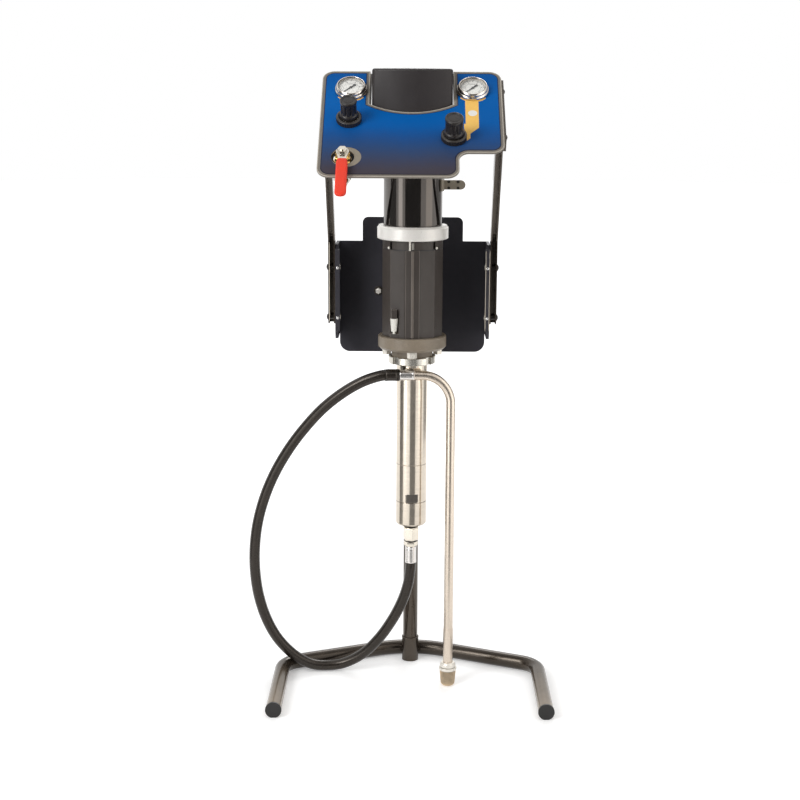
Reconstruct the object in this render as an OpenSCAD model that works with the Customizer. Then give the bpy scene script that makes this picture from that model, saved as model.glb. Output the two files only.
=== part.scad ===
// Air-driven airless paint sprayer: a piston pump under an air motor, on a floor stand with a sloped
// air-control console. Lengths in millimetres, +Z up, the front (console side) faces -Y, the floor is Z = 0.

/* [Stand] */
// Outside diameter of the stand pipe
pipe_d = 26.7; // [22:0.1:30]
// Wall of the stand pipe
pipe_wall = 2.8; // [1.6:0.1:4]
// Distance between the centres of the two feet
foot_spread = 464; // [380:2:600]
// Reach of the feet ahead of the pump axis
foot_reach = 190; // [150:2:260]
// Backward sweep of the cross arms, in degrees
arm_sweep = 24; // [18:1:30]
// Centre-line radius of the bend into each leg
leg_bend_r = 45; // [36:1:60]
// Centre-line radius of the bend behind the post
rear_bend_r = 150; // [100:5:180]
// Rise of the post above its mounting plate
post_rise = 32; // [10:2:44]
// Diameter of the foot plug heads
plug_d = 28; // [27:0.1:34]

/* [Bracket] */
// Width of the bracket plate between its side flanges
plate_w = 257; // [230:1:280]
// Thickness of the bracket plate
plate_t = 4; // [3:0.5:5]
// Distance from the pump axis to the front of the bracket plate
plate_gap = 66; // [64:1:75]
// Height of the bracket plate's main field
plate_h = 164; // [140:1:180]
// Drop of the narrower lower apron
apron_h = 33; // [20:1:36]
// Width of the upper tab
tab_w = 176; // [140:1:200]
// Height of the upper tab
tab_h = 42; // [30:1:60]
// Thickness of the side flanges
flange_t = 5; // [3:0.5:7]
// Width of the console arms, side to side
arm_w = 12; // [10:0.5:18]
// Depth of the console arms, front to back
arm_d = 30; // [24:1:40]
// Wall of the channel arms
arm_wall = 2.5; // [2:0.1:3]
// Forward lean of the upper arms, in degrees
arm_lean = 34; // [30:1:38]
// Bolt diameter in the bracket
bolt_d = 8; // [6:1:10]

/* [Console] */
// Width of the console panel
panel_w = 290; // [286:1:300]
// Length of the console panel along its slope
panel_len = 262; // [250:1:280]
// Slope of the console panel from level, in degrees
panel_slope = 37; // [34:1:40]
// Thickness of the console panel
panel_t = 3; // [2:0.5:4]
// Sideways offset of the panel from the pump axis
panel_shift = -3; // [-6:1:6]
// Bare border round the overlay
border = 5.5; // [3:0.5:8]
// Half width of the hood cut-out
cutout_half = 67.5; // [67.2:0.1:70]
// Diameter of the gauge bezels
gauge_d = 53; // [46:1:56]
// Diameter of the regulator panel nuts
ring_d = 40.5; // [38:0.5:46]
// Diameter of the left knob
left_knob_d = 26.6; // [24:0.2:32]
// Diameter of the right knob
right_knob_d = 29; // [24:0.2:32]
// Height of the knobs
knob_h = 31; // [24:1:38]
// Reach of the valve lever from its stem
lever_len = 102; // [80:1:130]
// Width of the lever grip
lever_w = 18; // [14:0.5:22]
// Inside radius of the air inlet thread
inlet_r = 9.2; // [8:0.1:10.5]

/* [Air motor] */
// Outside diameter of the motor cylinder
motor_d = 101; // [92:1:106]
// Wall of the motor cylinder
motor_wall = 4; // [3:0.5:6]
// Length of the motor cylinder
motor_h = 130; // [120:1:140]
// Diameter of the silver motor base
base_d = 122; // [116:1:126]
// Height of the silver motor base
base_h = 23; // [18:1:30]
// Radius of the piston rod
piston_rod_r = 10; // [8:0.5:11]
// Stroke of the pump
stroke = 60; // [50:1:62]
// Half width of the hood
hood_half = 65.5; // [58:0.5:66]
// Rise of the hood's top above the motor cylinder
hood_rise = 131; // [120:1:150]

/* [Pump] */
// Underside of the pump above the floor
pump_z = 290; // [270:1:320]
// Outside diameter of the pump cylinder
pump_d = 54; // [50:0.5:58]
// Bore of the pump cylinder
pump_bore_r = 20; // [18:0.5:21]
// Length of the intake housing
intake_h = 43; // [40:1:50]
// Length of the middle cylinder
middle_h = 68; // [60:1:80]
// Length of the upper cylinder below the ring nut
upper_h = 180; // [172:1:196]
// Height of the slotted ring nut
ring_nut_h = 13; // [12:1:18]
// Diameter of the slotted ring nut
ring_nut_d = 82; // [78:1:90]
// Height of the neck above the ring nut
neck_h = 13; // [10:1:16]
// Diameter of the outlet housing
flange_d = 118; // [112:1:122]
// Height of the outlet housing
flange_h = 31; // [28:1:36]
// Height of the coupling shields
shield_h = 143; // [134:1:150]
// Height of the castellated collar
collar_h = 16; // [12:1:20]
// Radius of the displacement rod
pump_rod_r = 11; // [9:0.5:12]
// Radius of the tie-rod circle
tie_r = 44; // [42:0.5:45]
// Diameter of the tie rods
tie_d = 10; // [8:0.5:10]
// Inside radius of the fluid outlet thread
outlet_r = 7.5; // [6:0.1:9.5]
// Turn of the fluid outlet behind the right side, in degrees
outlet_turn = 23; // [22:0.5:24]
// Drop of the fluid outlet below level, in degrees
outlet_drop = 12; // [10:1:16]

/* [Suction] */
// Outside diameter of the suction tube
tube_d = 16; // [13:0.1:16.4]
// Wall of the suction tube
tube_wall = 1.2; // [0.8:0.1:2]
// Sideways reach of the suction tube from the pump axis
tube_x = 67.5; // [64:0.5:78]
// Centre-line radius of the suction tube's hook
hook_r = 50; // [46:1:60]
// Diameter of the suction hose
hose_d = 19; // [16:0.5:19]
// Diameter of the hose ferrule on the suction tube
ferrule_d = 18.5; // [17:0.1:19]
// Diameter of the hose ferrule under the pump
lower_ferrule_d = 20; // [19:0.1:22]
// Largest diameter of the strainer
strainer_d = 31.5; // [26:0.5:36]

/* [Hidden] */
$fn = 64;

// Clearances: seat between still curved faces, run in sliding and turning fits.
seat = 0.3;
run = 0.05;
eps = 0.01;

// Heights up the pump axis.
z_lower = pump_z + intake_h;
z_middle = z_lower + middle_h;
z_nut = z_middle + upper_h;
z_neck = z_nut + ring_nut_h;
z_flange = z_neck + neck_h;
z_shield = z_flange + flange_h;
z_collar = z_shield + shield_h;
z_base = z_collar + collar_h;
z_motor = z_base + base_h;
z_cap = z_motor + motor_h;
cap_h = 30;
pump_r = pump_d / 2;
motor_r = motor_d / 2;

// Stand.
pipe_r = pipe_d / 2;
post_plate_t = 5;
weld = 1.5;
plate_back = plate_gap + plate_t;
post_y = plate_back + post_plate_t + pipe_r - weld;
apex_y = post_y + pipe_d + seat;
foot_x = foot_spread / 2;
plug_head = 4;
bend_lap = 0.5;

// Bracket, from its lower edge up.
plate_z = z_flange - 19;
field_z = plate_z + apron_h;
field_top = field_z + plate_h;
flange_x = plate_w / 2 + flange_t;
bracket_bolts = [[-38, field_z + 49], [38, field_z + 49], [-38, field_z + 139], [38, field_z + 139]];
arm_bolt_y = 15;
arm_bolt_z = [field_z + 37, field_z + 124];
ground_screw = [-60, field_z + 76];
arm_foot_z = field_z + 27;
arm_bend_z = field_top + 12;
saddle_screw_x = 22;
saddle_screw_z = z_base + base_h / 2;
post_plate_z = [bracket_bolts[0][1] - 20, bracket_bolts[2][1] + 20];
post_h = post_plate_z[1] + post_rise;

// Console: its panel frame has x across, y up the slope from the top edge, z out of the face.
panel_y = -66;
panel_z = z_cap + 125.7;
overlay_t = 0.6;
frame_t = 2;
notch_len = 204;
notch_x = 74;
notch_r = 16;
corner_r = 20;
cutout_c = 14.8;
cutout_r = 120.3;
rail_top = 18;
rail_len = 152;
rail_h = 22;
rail_bolts = [34, 150];

// Gauges.
gauge_x = 98;
gauge_s = 51;
gauge_case_r = 24;
gauge_post_r = 3.2;
bezel_h = 12;
dial_r = 22.5;
dial_z = 5;
lens_t = 1.6;
pointer_shaft_r = 1.2;

// Regulators: square bodies under the panel, spindles with knobs above it.
left_reg = [-99, -127];
right_reg = [66, -170];
reg_half = 15;
reg_offset = -6;
reg_h = 30;
bonnet_r = 15;
stem_r = 4;
ring_h = 9;
bonnet_top = overlay_t + ring_h;
knob_z = bonnet_top + 0.5;
signal_z = -30;
gun_port_z = -20;
gun_port_r = 5.7;

// Air inlet valve with its lever.
valve_pos = [-106, -216];
valve_window = [-100.6, -216];
valve_axis = -18;
valve_len = 66;
valve_r = 17;
valve_hex_r = 13.4;
valve_ball_r = 12;
flow_r = 7;
inlet_depth = 15;
lever_z = 9;
tongue_t = 2.5;
grip_t = 7.5;
grip_start = 20;

// Centre of the whole object from front to back, so that the origin is under its middle.
lever_tip = valve_pos[1] - lever_len;
grip_top = lever_z + tongue_t / 2 + grip_t / 2;
front_y = panel_y + lever_tip * cos(panel_slope) - grip_top * sin(panel_slope);
pump_y = -(front_y + apex_y + pipe_r) / 2;

// Air motor.
motor_piston_z = z_motor + 16;
motor_piston_h = 30;
stud_r = 6;
bearing_r = 15;
shroud_t = 2.2;
shroud_h = 102;
lug_reach = 89;
hood_t = 3;
hood_z = z_cap + 40;
hood_top = z_cap + hood_rise;
hood_shift = -2;
hood_bow_r = 144;
hood_bow_c = -2;
hood_post_x = 30;
air_valve_half = 42;
air_valve_y = -114;
air_valve_z = z_motor + 105;
air_valve_h = 60;
spool_y = -84;
spool_z = air_valve_z + 40;
spool_r = 8;

// Linkage: shield outline from the front centre round the right side to the middle.
shield_half_pts = [[0, -52.5], [11.5, -51], [14, -48.6], [37.5, -36.5], [51.5, -13]];
shield_wall = 2;
shield_seam = 0.2;
shield_reach = 51.8;
step_h = 8;
step_r = 47;
tie_nut_r = 8.5;
tie_nut_h = 11;
cup_pos = [-31, -44];
cup_r = 6.3;
cup_top = 26.4;
rod_top_z = z_shield + 37;
coupling_z = z_shield + 17;
coupling_h = 45;

// Fluid section.
collar_r = 35.3;
lip_h = 4;
spigot_h = 6;
cavity_top = z_flange + 20;
gland_r = 15;
outlet_z = z_flange + 10;
outlet_depth = 16;
piston_z = z_middle + 11;
piston_h = 30;
piston_ball_r = 7;
piston_seat_r = 5;
piston_cage_r = 8.5;
piston_cage_z = piston_z + 7;
intake_ball_r = 12;
intake_seat_r = 9;
intake_cage_r = 14;
intake_seat_z = pump_z + 15;
inlet_thread_r = 13;

// Suction side.
tube_y = -(pump_r + seat + ferrule_d / 2);
hook_z = z_nut - 16;
fitting_z = [0, -6, -12, -31, -42, -73];
strainer_h = 34;
strainer_collar_h = 9;
upper_ferrule_x = [-21, 4.5];

// Suction hose: from the ferrule under the pump, down to the floor, round and up to the hook.
hose_route = [
  [0, 0, 217], [-1, 0, 200], [-5, 2, 174], [-15, 5, 142], [-32, 9, 106], [-56, 15, 68], [-86, 21, 35],
  [-120, 25, 15], [-152, 25, 10], [-182, 20, 15], [-212, 15, 34], [-240, 12, 65], [-260, 8, 104],
  [-273, 5, 148], [-279, 2, 194], [-279, -1, 240], [-273, -4, 288], [-260, -8, 336], [-241, -12, 382],
  [-216, -16, 426], [-187, -20, 466], [-154, -25, 503], [-119, -30, 532], [-86, -34, 552],
  [-56, -36.5, 563], [-38, -36.5, 565], [-21, -36.5, 565]];
hose_sides = 10;
hose_steps = 3;

// Catmull-Rom point between route points b and c.
function spline(a, b, c, d, t) = 0.5 * ((2 * b) + (c - a) * t + (2 * a - 5 * b + 4 * c - d) * t * t
  + (3 * b - a - 3 * c + d) * t * t * t);
function knot(pts, i) = pts[max(0, min(len(pts) - 1, i))];
function route(pts, steps) = concat(
  [for (i = [0 : len(pts) - 2], k = [0 : steps - 1])
    spline(knot(pts, i - 1), pts[i], pts[i + 1], knot(pts, i + 2), k / steps)],
  [pts[len(pts) - 1]]);
function unit(v) = v / norm(v);
function heading(pts, i) = unit(knot(pts, i + 1) - knot(pts, i - 1));
// A ring of points round the line at point i; the line stays near a plane whose normal is flat.
function line_ring(pts, i, r, first, last, flat) =
  let (t = i == 0 ? first : i == len(pts) - 1 ? last : heading(pts, i),
    u = unit(cross(t, flat)),
    v = cross(t, u))
  [for (k = [0 : hose_sides - 1]) let (a = k * 360 / hose_sides) pts[i] + r * (u * cos(a) + v * sin(a))];

// Points of an arc round c from one angle to another.
function arc(c, r, from, to, steps = 10) =
  [for (i = [0 : steps]) let (a = from + (to - from) * i / steps) c + r * [cos(a), sin(a)]];

// Position in the pump's frame of a point given in the panel's frame.
function at_panel(p) = [p[0] + panel_shift, panel_y + p[1] * cos(panel_slope) - p[2] * sin(panel_slope),
  panel_z + p[1] * sin(panel_slope) + p[2] * cos(panel_slope)];

module swept_tube(pts, r, first, last, flat) {
  n = len(pts);
  m = hose_sides;
  rings = [for (i = [0 : n - 1]) each line_ring(pts, i, r, first, last, flat)];
  walls = [for (i = [0 : n - 2], a = [0 : m - 1])
    [i * m + a, (i + 1) * m + a, (i + 1) * m + (a + 1) % m, i * m + (a + 1) % m]];
  ends = [[for (a = [0 : m - 1]) a], [for (a = [0 : m - 1]) n * m - 1 - a]];
  polyhedron(points = rings, faces = concat(walls, ends), convexity = 8);
}

// Everything is modelled round the pump axis and moved back as one.
module placed() {
  translate([0, pump_y, 0]) children();
}

module on_panel() {
  placed() translate([panel_shift, panel_y, panel_z]) rotate([panel_slope, 0, 0]) children();
}

module tube(r, wall, h) {
  difference() {
    cylinder(r = r, h = h);
    translate([0, 0, -1]) cylinder(r = r - wall, h = h + 2);
  }
}

module both_sides() {
  children();
  mirror([1, 0, 0]) children();
}

// A rectangle from corner a to corner b with true arcs of radius r at its corners.
module rounded_rect(a, b, r) {
  translate([a[0] + r, a[1]]) square([b[0] - a[0] - 2 * r, b[1] - a[1]]);
  translate([a[0], a[1] + r]) square([b[0] - a[0], b[1] - a[1] - 2 * r]);
  for (x = [a[0] + r, b[0] - r], y = [a[1] + r, b[1] - r]) translate([x, y]) circle(r);
}

// A screw along +Z with its domed head below z = 0.
module screw(d, length) {
  intersection() {
    translate([0, 0, d * 0.55]) sphere(r = d);
    translate([0, 0, -d]) cylinder(r = d * 0.85, h = d);
  }
  cylinder(r = d / 2 - seat, h = length);
}

// The same with a hexagon nut on the far side of the grip.
module through_bolt(d, grip, nut_k = 0.8) {
  nut_h = d * nut_k;
  screw(d, grip + nut_h + 1);
  translate([0, 0, grip]) cylinder(r = d * 0.9, h = nut_h, $fn = 6);
}

/* Stand */

module pipe_ring(thinning) {
  difference() {
    circle(pipe_r - thinning);
    circle(pipe_r - pipe_wall + thinning);
  }
}

// A straight of the pipe along +Z, let into the bend at each end.
module pipe_straight(length) {
  translate([0, 0, -bend_lap]) linear_extrude(length + 2 * bend_lap) pipe_ring(0);
}

// A bend of centre-line radius r; its wall is a hair thinner than the straights'.
module pipe_bend(r, turn) {
  rotate_extrude(angle = turn) translate([r, 0]) pipe_ring(0.03);
}

// One half of the bent base pipe: rear arc, straight arm, bend and leg, drawn on the +X side.
module base_half() {
  turn = 90 - arm_sweep;
  arc_end = [rear_bend_r * sin(arm_sweep), apex_y - rear_bend_r * (1 - cos(arm_sweep))];
  corner_y = arc_end[1] - (foot_x - arc_end[0]) * tan(arm_sweep);
  trim = leg_bend_r * tan(turn / 2);
  arm_len = (foot_x - arc_end[0]) / cos(arm_sweep) - trim;
  leg_start = corner_y - trim;
  translate([0, 0, pipe_r]) {
    translate([0, apex_y - rear_bend_r, 0]) rotate([0, 0, turn]) pipe_bend(rear_bend_r, arm_sweep);
    translate([arc_end[0], arc_end[1], 0]) rotate([0, 90, -arm_sweep]) pipe_straight(arm_len);
    translate([foot_x - leg_bend_r, leg_start, 0]) pipe_bend(leg_bend_r, turn);
    translate([foot_x, leg_start, 0]) rotate([90, 0, 0])
      pipe_straight(leg_start + foot_reach - plug_head - bend_lap);
  }
}

module base_tube_right() {
  color("#2b2622") placed() base_half();
}

module base_tube_left() {
  color("#2b2622") placed() mirror([1, 0, 0]) base_half();
}

// Post with a weld collar at the foot and the plate that the bracket bolts to.
module stand_post() {
  shoe_r = pipe_r + 2;
  shoe_h = 44;
  plate_x = 52;
  color("#2b2622") placed() difference() {
    union() {
      translate([0, post_y, 0]) cylinder(r = pipe_r, h = post_h);
      translate([0, post_y, 0]) cylinder(r = shoe_r, h = shoe_h);
      translate([-plate_x, plate_back, post_plate_z[0]])
        cube([2 * plate_x, post_plate_t, post_plate_z[1] - post_plate_z[0]]);
    }
    translate([0, post_y, 3]) cylinder(r = pipe_r - pipe_wall, h = post_h);
    translate([0, apex_y - rear_bend_r, pipe_r]) rotate([0, 0, 90 - 20])
      rotate_extrude(angle = 40) translate([rear_bend_r, 0]) circle(pipe_r + seat / 2);
    for (p = bracket_bolts) translate([p[0], plate_back - 1, p[1]]) rotate([-90, 0, 0])
      cylinder(r = bolt_d / 2, h = post_plate_t + 2);
  }
}

// A plug: a head over the pipe end and a shank inside it, along +Z.
module plug(head_r, head) {
  cylinder(r = head_r, h = head);
  translate([0, 0, head - eps]) cylinder(r = pipe_r - pipe_wall - seat, h = 16);
}

module tube_plugs() {
  color("#1c1a19") placed() {
    both_sides() difference() {
      translate([foot_x, -foot_reach, pipe_r]) rotate([-90, 0, 0]) plug(plug_d / 2, plug_head);
      translate([foot_x - plug_d, -foot_reach - 1, -plug_d]) cube([2 * plug_d, plug_head + 2, plug_d]);
    }
    translate([0, post_y, post_h + 3]) mirror([0, 0, 1]) plug(pipe_r, 3);
  }
}

module plate_bolts() {
  color("#3a3836") placed() {
    for (p = bracket_bolts) translate([p[0], plate_gap, p[1]]) rotate([-90, 0, 0])
      through_bolt(bolt_d, plate_t + post_plate_t);
    translate([ground_screw[0], plate_gap, ground_screw[1]]) rotate([-90, 0, 0]) through_bolt(6, plate_t);
    both_sides() translate([saddle_screw_x, plate_back, saddle_screw_z]) rotate([90, 0, 0])
      screw(6, plate_t + 20);
  }
}

/* Bracket */

module bracket_plate() {
  color("#1d1c1e") placed() {
    difference() {
      translate([0, plate_back, 0]) rotate([90, 0, 0]) linear_extrude(plate_t) difference() {
        union() {
          translate([-flange_x, field_z]) square([2 * flange_x, plate_h]);
          rounded_rect([-plate_w / 2, plate_z], [plate_w / 2, field_z + 40], 18);
          rounded_rect([-tab_w / 2, field_top - 40], [tab_w / 2, field_top + tab_h], 10);
        }
        for (p = bracket_bolts) translate(p) circle(bolt_d / 2);
        translate(ground_screw) circle(3);
        both_sides() translate([saddle_screw_x, saddle_screw_z]) circle(3);
      }
    }
    both_sides() difference() {
      translate([plate_w / 2, 0, 0]) rotate([90, 0, 90]) linear_extrude(flange_t)
        polygon([[plate_gap + eps, field_z], [8, field_z], [0, field_z + 14],
          [0, field_top - 8], [8, field_top], [plate_gap + eps, field_top]]);
      for (z = arm_bolt_z) translate([plate_w / 2 - 1, arm_bolt_y, z]) rotate([0, 90, 0])
        cylinder(r = bolt_d / 2, h = flange_t + 2);
    }
  }
}

// Side view of an arm from the foot, round the bend and up past the console.
module arm_outline() {
  half = arm_d / 2;
  bend = [half, arm_bend_z];
  up = 330 * [-sin(arm_lean), cos(arm_lean)];
  across = half * [cos(arm_lean), sin(arm_lean)];
  polygon(concat([[3, arm_foot_z], [arm_d - 3, arm_foot_z], [arm_d, arm_foot_z + 3]],
    arc(bend, half, 0, arm_lean, 6),
    [bend + across + up, bend - across + up, bend - half * [1, tan(arm_lean / 2)], [0, arm_foot_z + 3]]));
}

// Space above the underside of the panel, for cutting the arm tops to the slope.
module over_panel(drop) {
  translate([0, panel_y, panel_z]) rotate([panel_slope, 0, 0])
    translate([0, -300, -drop]) cube([400, 500, 200]);
}

// Channel arm on the +X side: open to the front, with a rail under the panel edge.
module arm() {
  difference() {
    union() {
      difference() {
        translate([flange_x, 0, 0]) rotate([90, 0, 90]) linear_extrude(arm_w) arm_outline();
        over_panel(panel_t);
      }
      translate([0, panel_y, panel_z]) rotate([panel_slope, 0, 0])
        translate([flange_x, -rail_top - rail_len, -panel_t - rail_h]) cube([arm_w, rail_len, rail_h]);
    }
    difference() {
      translate([flange_x + arm_wall, -arm_wall - 1, 0]) rotate([90, 0, 90])
        linear_extrude(arm_w - 2 * arm_wall) arm_outline();
      over_panel(panel_t + arm_wall);
    }
    translate([0, panel_y, panel_z]) rotate([panel_slope, 0, 0])
      translate([flange_x + arm_wall, -rail_top - rail_len + arm_wall, -panel_t - rail_h - 1])
      cube([arm_w - 2 * arm_wall, rail_len - 2 * arm_wall, rail_h - arm_wall + 1]);
    for (z = arm_bolt_z) translate([flange_x - 1, arm_bolt_y, z]) rotate([0, 90, 0])
      cylinder(r = bolt_d / 2, h = arm_w + 2);
    for (s = rail_bolts) translate([0, panel_y, panel_z]) rotate([panel_slope, 0, 0])
      translate([flange_x - 1, -s, -panel_t - rail_h / 2]) rotate([0, 90, 0])
      cylinder(r = 3, h = arm_w + 2);
  }
}

module right_arm() {
  color("#2a2725") placed() arm();
}

module left_arm() {
  color("#2a2725") placed() mirror([1, 0, 0]) arm();
}

module arm_bolts() {
  color("#26221f") placed() both_sides() {
    for (z = arm_bolt_z) translate([flange_x + arm_w, arm_bolt_y, z]) rotate([0, -90, 0])
      through_bolt(bolt_d, arm_w + flange_t, 0.35);
    for (s = rail_bolts) translate([0, panel_y, panel_z]) rotate([panel_slope, 0, 0])
      translate([flange_x + arm_w, -s, -panel_t - rail_h / 2]) rotate([0, -90, 0])
      through_bolt(6, arm_w + frame_t);
  }
}

// Saddle between the motor base and the bracket plate.
module saddle_block() {
  color("#1d1c1e") placed() difference() {
    translate([-34, plate_gap - 26, z_base + 2]) cube([68, 26, base_h - 4]);
    translate([0, 0, z_base]) cylinder(r = base_d / 2 + seat, h = base_h);
    both_sides() translate([saddle_screw_x, plate_gap + 1, saddle_screw_z]) rotate([90, 0, 0])
      cylinder(r = 3, h = 20);
  }
}

/* Console */

// Panel outline, drawn in by i from its edges and grown by i round the cut-out.
module panel_outline(i) {
  half = panel_w / 2;
  in_r = corner_r - i;
  cut = cutout_half + i;
  cut_r = cutout_r + i;
  open = acos(cut / cut_r);
  polygon(concat(
    arc([-half + corner_r, -panel_len + corner_r], in_r, 180, 270),
    arc([notch_x - corner_r, -panel_len + corner_r], in_r, 270, 360),
    arc([notch_x + notch_r, -notch_len - notch_r], notch_r + i, 180, 90),
    arc([half - corner_r, -notch_len + corner_r], in_r, 270, 360),
    arc([half - corner_r, -corner_r], in_r, 0, 90),
    [[cut, -i]],
    arc([0, cutout_c], cut_r, -open, -180 + open),
    [[-cut, -i]],
    arc([-half + corner_r, -corner_r], in_r, 90, 180)));
}

module at_gauges() {
  for (x = [-gauge_x, gauge_x]) translate([x, -gauge_s, 0]) children();
}

module at_regulators() {
  for (p = [left_reg, right_reg]) translate([p[0], p[1], 0]) children();
}

// Holes through the panel for the gauges and the regulator bonnets.
module instrument_holes() {
  at_gauges() translate([0, 0, -50]) cylinder(r = gauge_case_r + seat, h = 100);
  at_regulators() translate([0, 0, -50]) cylinder(r = bonnet_r + seat, h = 100);
}

module panel_plate() {
  color("#8d877c") on_panel() difference() {
    translate([0, 0, -panel_t]) linear_extrude(panel_t) panel_outline(0);
    instrument_holes();
    translate([valve_pos[0], valve_pos[1], -50]) cylinder(r = valve_r + 1, h = 100);
  }
}

module panel_overlay() {
  color("#0a4a9c") on_panel() difference() {
    linear_extrude(overlay_t) panel_outline(border);
    instrument_holes();
    translate([valve_window[0], valve_window[1], -50]) cylinder(r = 23.5, h = 100);
  }
}

// Backing sheet between the arm rails, with folded sides.
module console_frame() {
  low = -panel_len + 16;
  fold = -panel_t - rail_h;
  right_x = notch_x + panel_shift - 8;
  color("#2a2725") placed() translate([0, panel_y, panel_z]) rotate([panel_slope, 0, 0]) difference() {
    union() {
      translate([-flange_x, -notch_len + 14, -panel_t - frame_t])
        cube([2 * flange_x, notch_len - 14 - rail_top, frame_t]);
      translate([-flange_x, low, -panel_t - frame_t]) cube([right_x + flange_x, 80, frame_t]);
      both_sides() translate([flange_x - frame_t, -rail_top - rail_len, fold])
        cube([frame_t, rail_len, rail_h]);
    }
    translate([panel_shift - cutout_half - 5, -114, -50]) cube([2 * cutout_half + 10, 200, 100]);
    translate([panel_shift, 0, 0]) instrument_holes();
    translate([valve_pos[0] + panel_shift, valve_pos[1], -50]) cylinder(r = valve_r + 1, h = 100);
    for (s = rail_bolts, x = [-flange_x, flange_x]) translate([x - 10, -s, -panel_t - rail_h / 2])
      rotate([0, 90, 0]) cylinder(r = 3, h = 20);
  }
}

// Gauge case with its bezel, a ledge for the dial and the post of the movement.
module gauge_cases() {
  bezel_r = gauge_d / 2;
  color("#c9c9c6") on_panel() at_gauges() {
    rotate_extrude() polygon([[gauge_post_r, -20], [dial_r - 2, -20], [dial_r - 2, dial_z],
      [dial_r + seat, dial_z], [dial_r + seat, bezel_h - 1.4], [dial_r - 1.5, bezel_h - 1.4],
      [dial_r - 1.5, bezel_h - 0.8], [bezel_r - 3, bezel_h], [bezel_r - 0.8, bezel_h - 1],
      [bezel_r, bezel_h - 3], [bezel_r, overlay_t], [gauge_case_r, overlay_t], [gauge_case_r, -22],
      [0, -22], [0, dial_z - 7], [gauge_post_r, dial_z - 7]]);
    translate([-6, -6, -40]) cube([12, 12, 18]);
  }
}

module gauge_dials() {
  color("#f2f0e8") on_panel() at_gauges() translate([0, 0, dial_z]) difference() {
    cylinder(r = dial_r, h = 1);
    translate([0, 0, -1]) cylinder(r = pointer_shaft_r + run, h = 3);
  }
}

// Pointer on its shaft, at zero, pointing down and to the left.
module pointer() {
  translate([0, 0, dial_z]) {
    translate([0, 0, -6.5]) cylinder(r = pointer_shaft_r, h = 8);
    translate([0, 0, 1.5]) cylinder(r = 2.4, h = 1.6);
    translate([0, 0, 1.8]) rotate([0, 0, 225]) linear_extrude(0.8)
      polygon([[-7, -1.7], [-7, 1.7], [0, 1.3], [18, 0.35], [18, -0.35], [0, -1.3]]);
  }
}

module left_pointer() {
  color("#141414") on_panel() translate([-gauge_x, -gauge_s, 0]) pointer();
}

module right_pointer() {
  color("#141414") on_panel() translate([gauge_x, -gauge_s, 0]) pointer();
}

module gauge_lenses() {
  color([0.9, 0.95, 1, 0.3]) on_panel() at_gauges() translate([0, 0, bezel_h - 1.4 - lens_t])
    cylinder(r = dial_r, h = lens_t);
}

// Regulator: square body under the panel, bowl below it, bonnet through the panel and spindle.
module regulator(body_x = 0) {
  top = -panel_t - frame_t;
  translate([body_x - reg_half, -reg_half, top - reg_h]) cube([2 * reg_half, 2 * reg_half, reg_h]);
  translate([body_x, 0, top - reg_h - 18]) cylinder(r1 = 11, r2 = 14, h = 18 + eps);
  translate([0, 0, top - eps]) cylinder(r = bonnet_r, h = bonnet_top - top);
  cylinder(r = stem_r, h = bonnet_top + knob_h - 6);
}

module left_regulator() {
  color("#232120") on_panel() translate([left_reg[0], left_reg[1], 0]) regulator();
}

module right_regulator() {
  color("#232120") on_panel() difference() {
    translate([right_reg[0], right_reg[1], 0]) regulator(reg_offset);
    translate([right_reg[0] + reg_offset, right_reg[1] - reg_half - 1, gun_port_z]) rotate([-90, 0, 0])
      cylinder(r = gun_port_r, h = 15 + 1);
  }
}

// Panel nuts: flat rings with a knurled edge.
module knob_rings() {
  notches = 30;
  color("#161514") on_panel() at_regulators() translate([0, 0, overlay_t]) difference() {
    cylinder(r = ring_d / 2, h = ring_h);
    translate([0, 0, -1]) cylinder(r = bonnet_r + seat, h = ring_h + 2);
    for (a = [0 : notches - 1]) rotate([0, 0, a * 360 / notches]) translate([ring_d / 2 + 0.7, 0, -1])
      cylinder(r = 1.6, h = ring_h - 1, $fn = 16);
  }
}

// Fluted knob of diameter d on the regulator spindle.
module knob(d) {
  flutes = 10;
  skirt = 6;
  r = d / 2;
  translate([0, 0, knob_z]) difference() {
    rotate_extrude() polygon([[0, 0], [r + 1.8, 0], [r + 1.8, skirt - 1.5], [r, skirt], [r, knob_h - 2],
      [r - 1.6, knob_h], [0, knob_h]]);
    translate([0, 0, -1]) cylinder(r = stem_r + run, h = knob_h - 5);
    for (a = [0 : flutes - 1]) rotate([0, 0, a * 360 / flutes]) translate([r + 1.2, 0, skirt + 0.5])
      cylinder(r = 2.4, h = knob_h - skirt - 4, $fn = 20);
  }
}

module left_knob() {
  color("#161514") on_panel() translate([left_reg[0], left_reg[1], 0]) knob(left_knob_d);
}

module right_knob() {
  color("#161514") on_panel() translate([right_reg[0], right_reg[1], 0]) knob(right_knob_d);
}

// Ball valve under the panel: flow runs down the slope, the gland stands up through the window.
module ball_valve_body() {
  color("#b98a3a") on_panel() translate([valve_pos[0], valve_pos[1], valve_axis]) difference() {
    union() {
      sphere(r = valve_r);
      rotate([90, 0, 0]) translate([0, 0, -valve_len / 2])
        cylinder(r = valve_hex_r, h = valve_len - inlet_depth, $fn = 6);
      cylinder(r = 8, h = lever_z - 1.5 - valve_axis);
    }
    sphere(r = valve_ball_r + seat);
    rotate([90, 0, 0]) translate([0, 0, -valve_len / 2 - 1]) cylinder(r = flow_r, h = valve_len + 2);
    cylinder(r = stem_r + run, h = 60);
  }
}

// Screwed end of the valve body that takes the air supply's fitting.
module valve_inlet() {
  color("#b98a3a") on_panel() translate([valve_pos[0], valve_pos[1] - valve_len / 2, valve_axis])
    rotate([-90, 0, 0]) difference() {
      cylinder(r = valve_hex_r, h = inlet_depth, $fn = 6);
      translate([0, 0, -1]) cylinder(r = inlet_r, h = inlet_depth + 2);
    }
}

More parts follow.
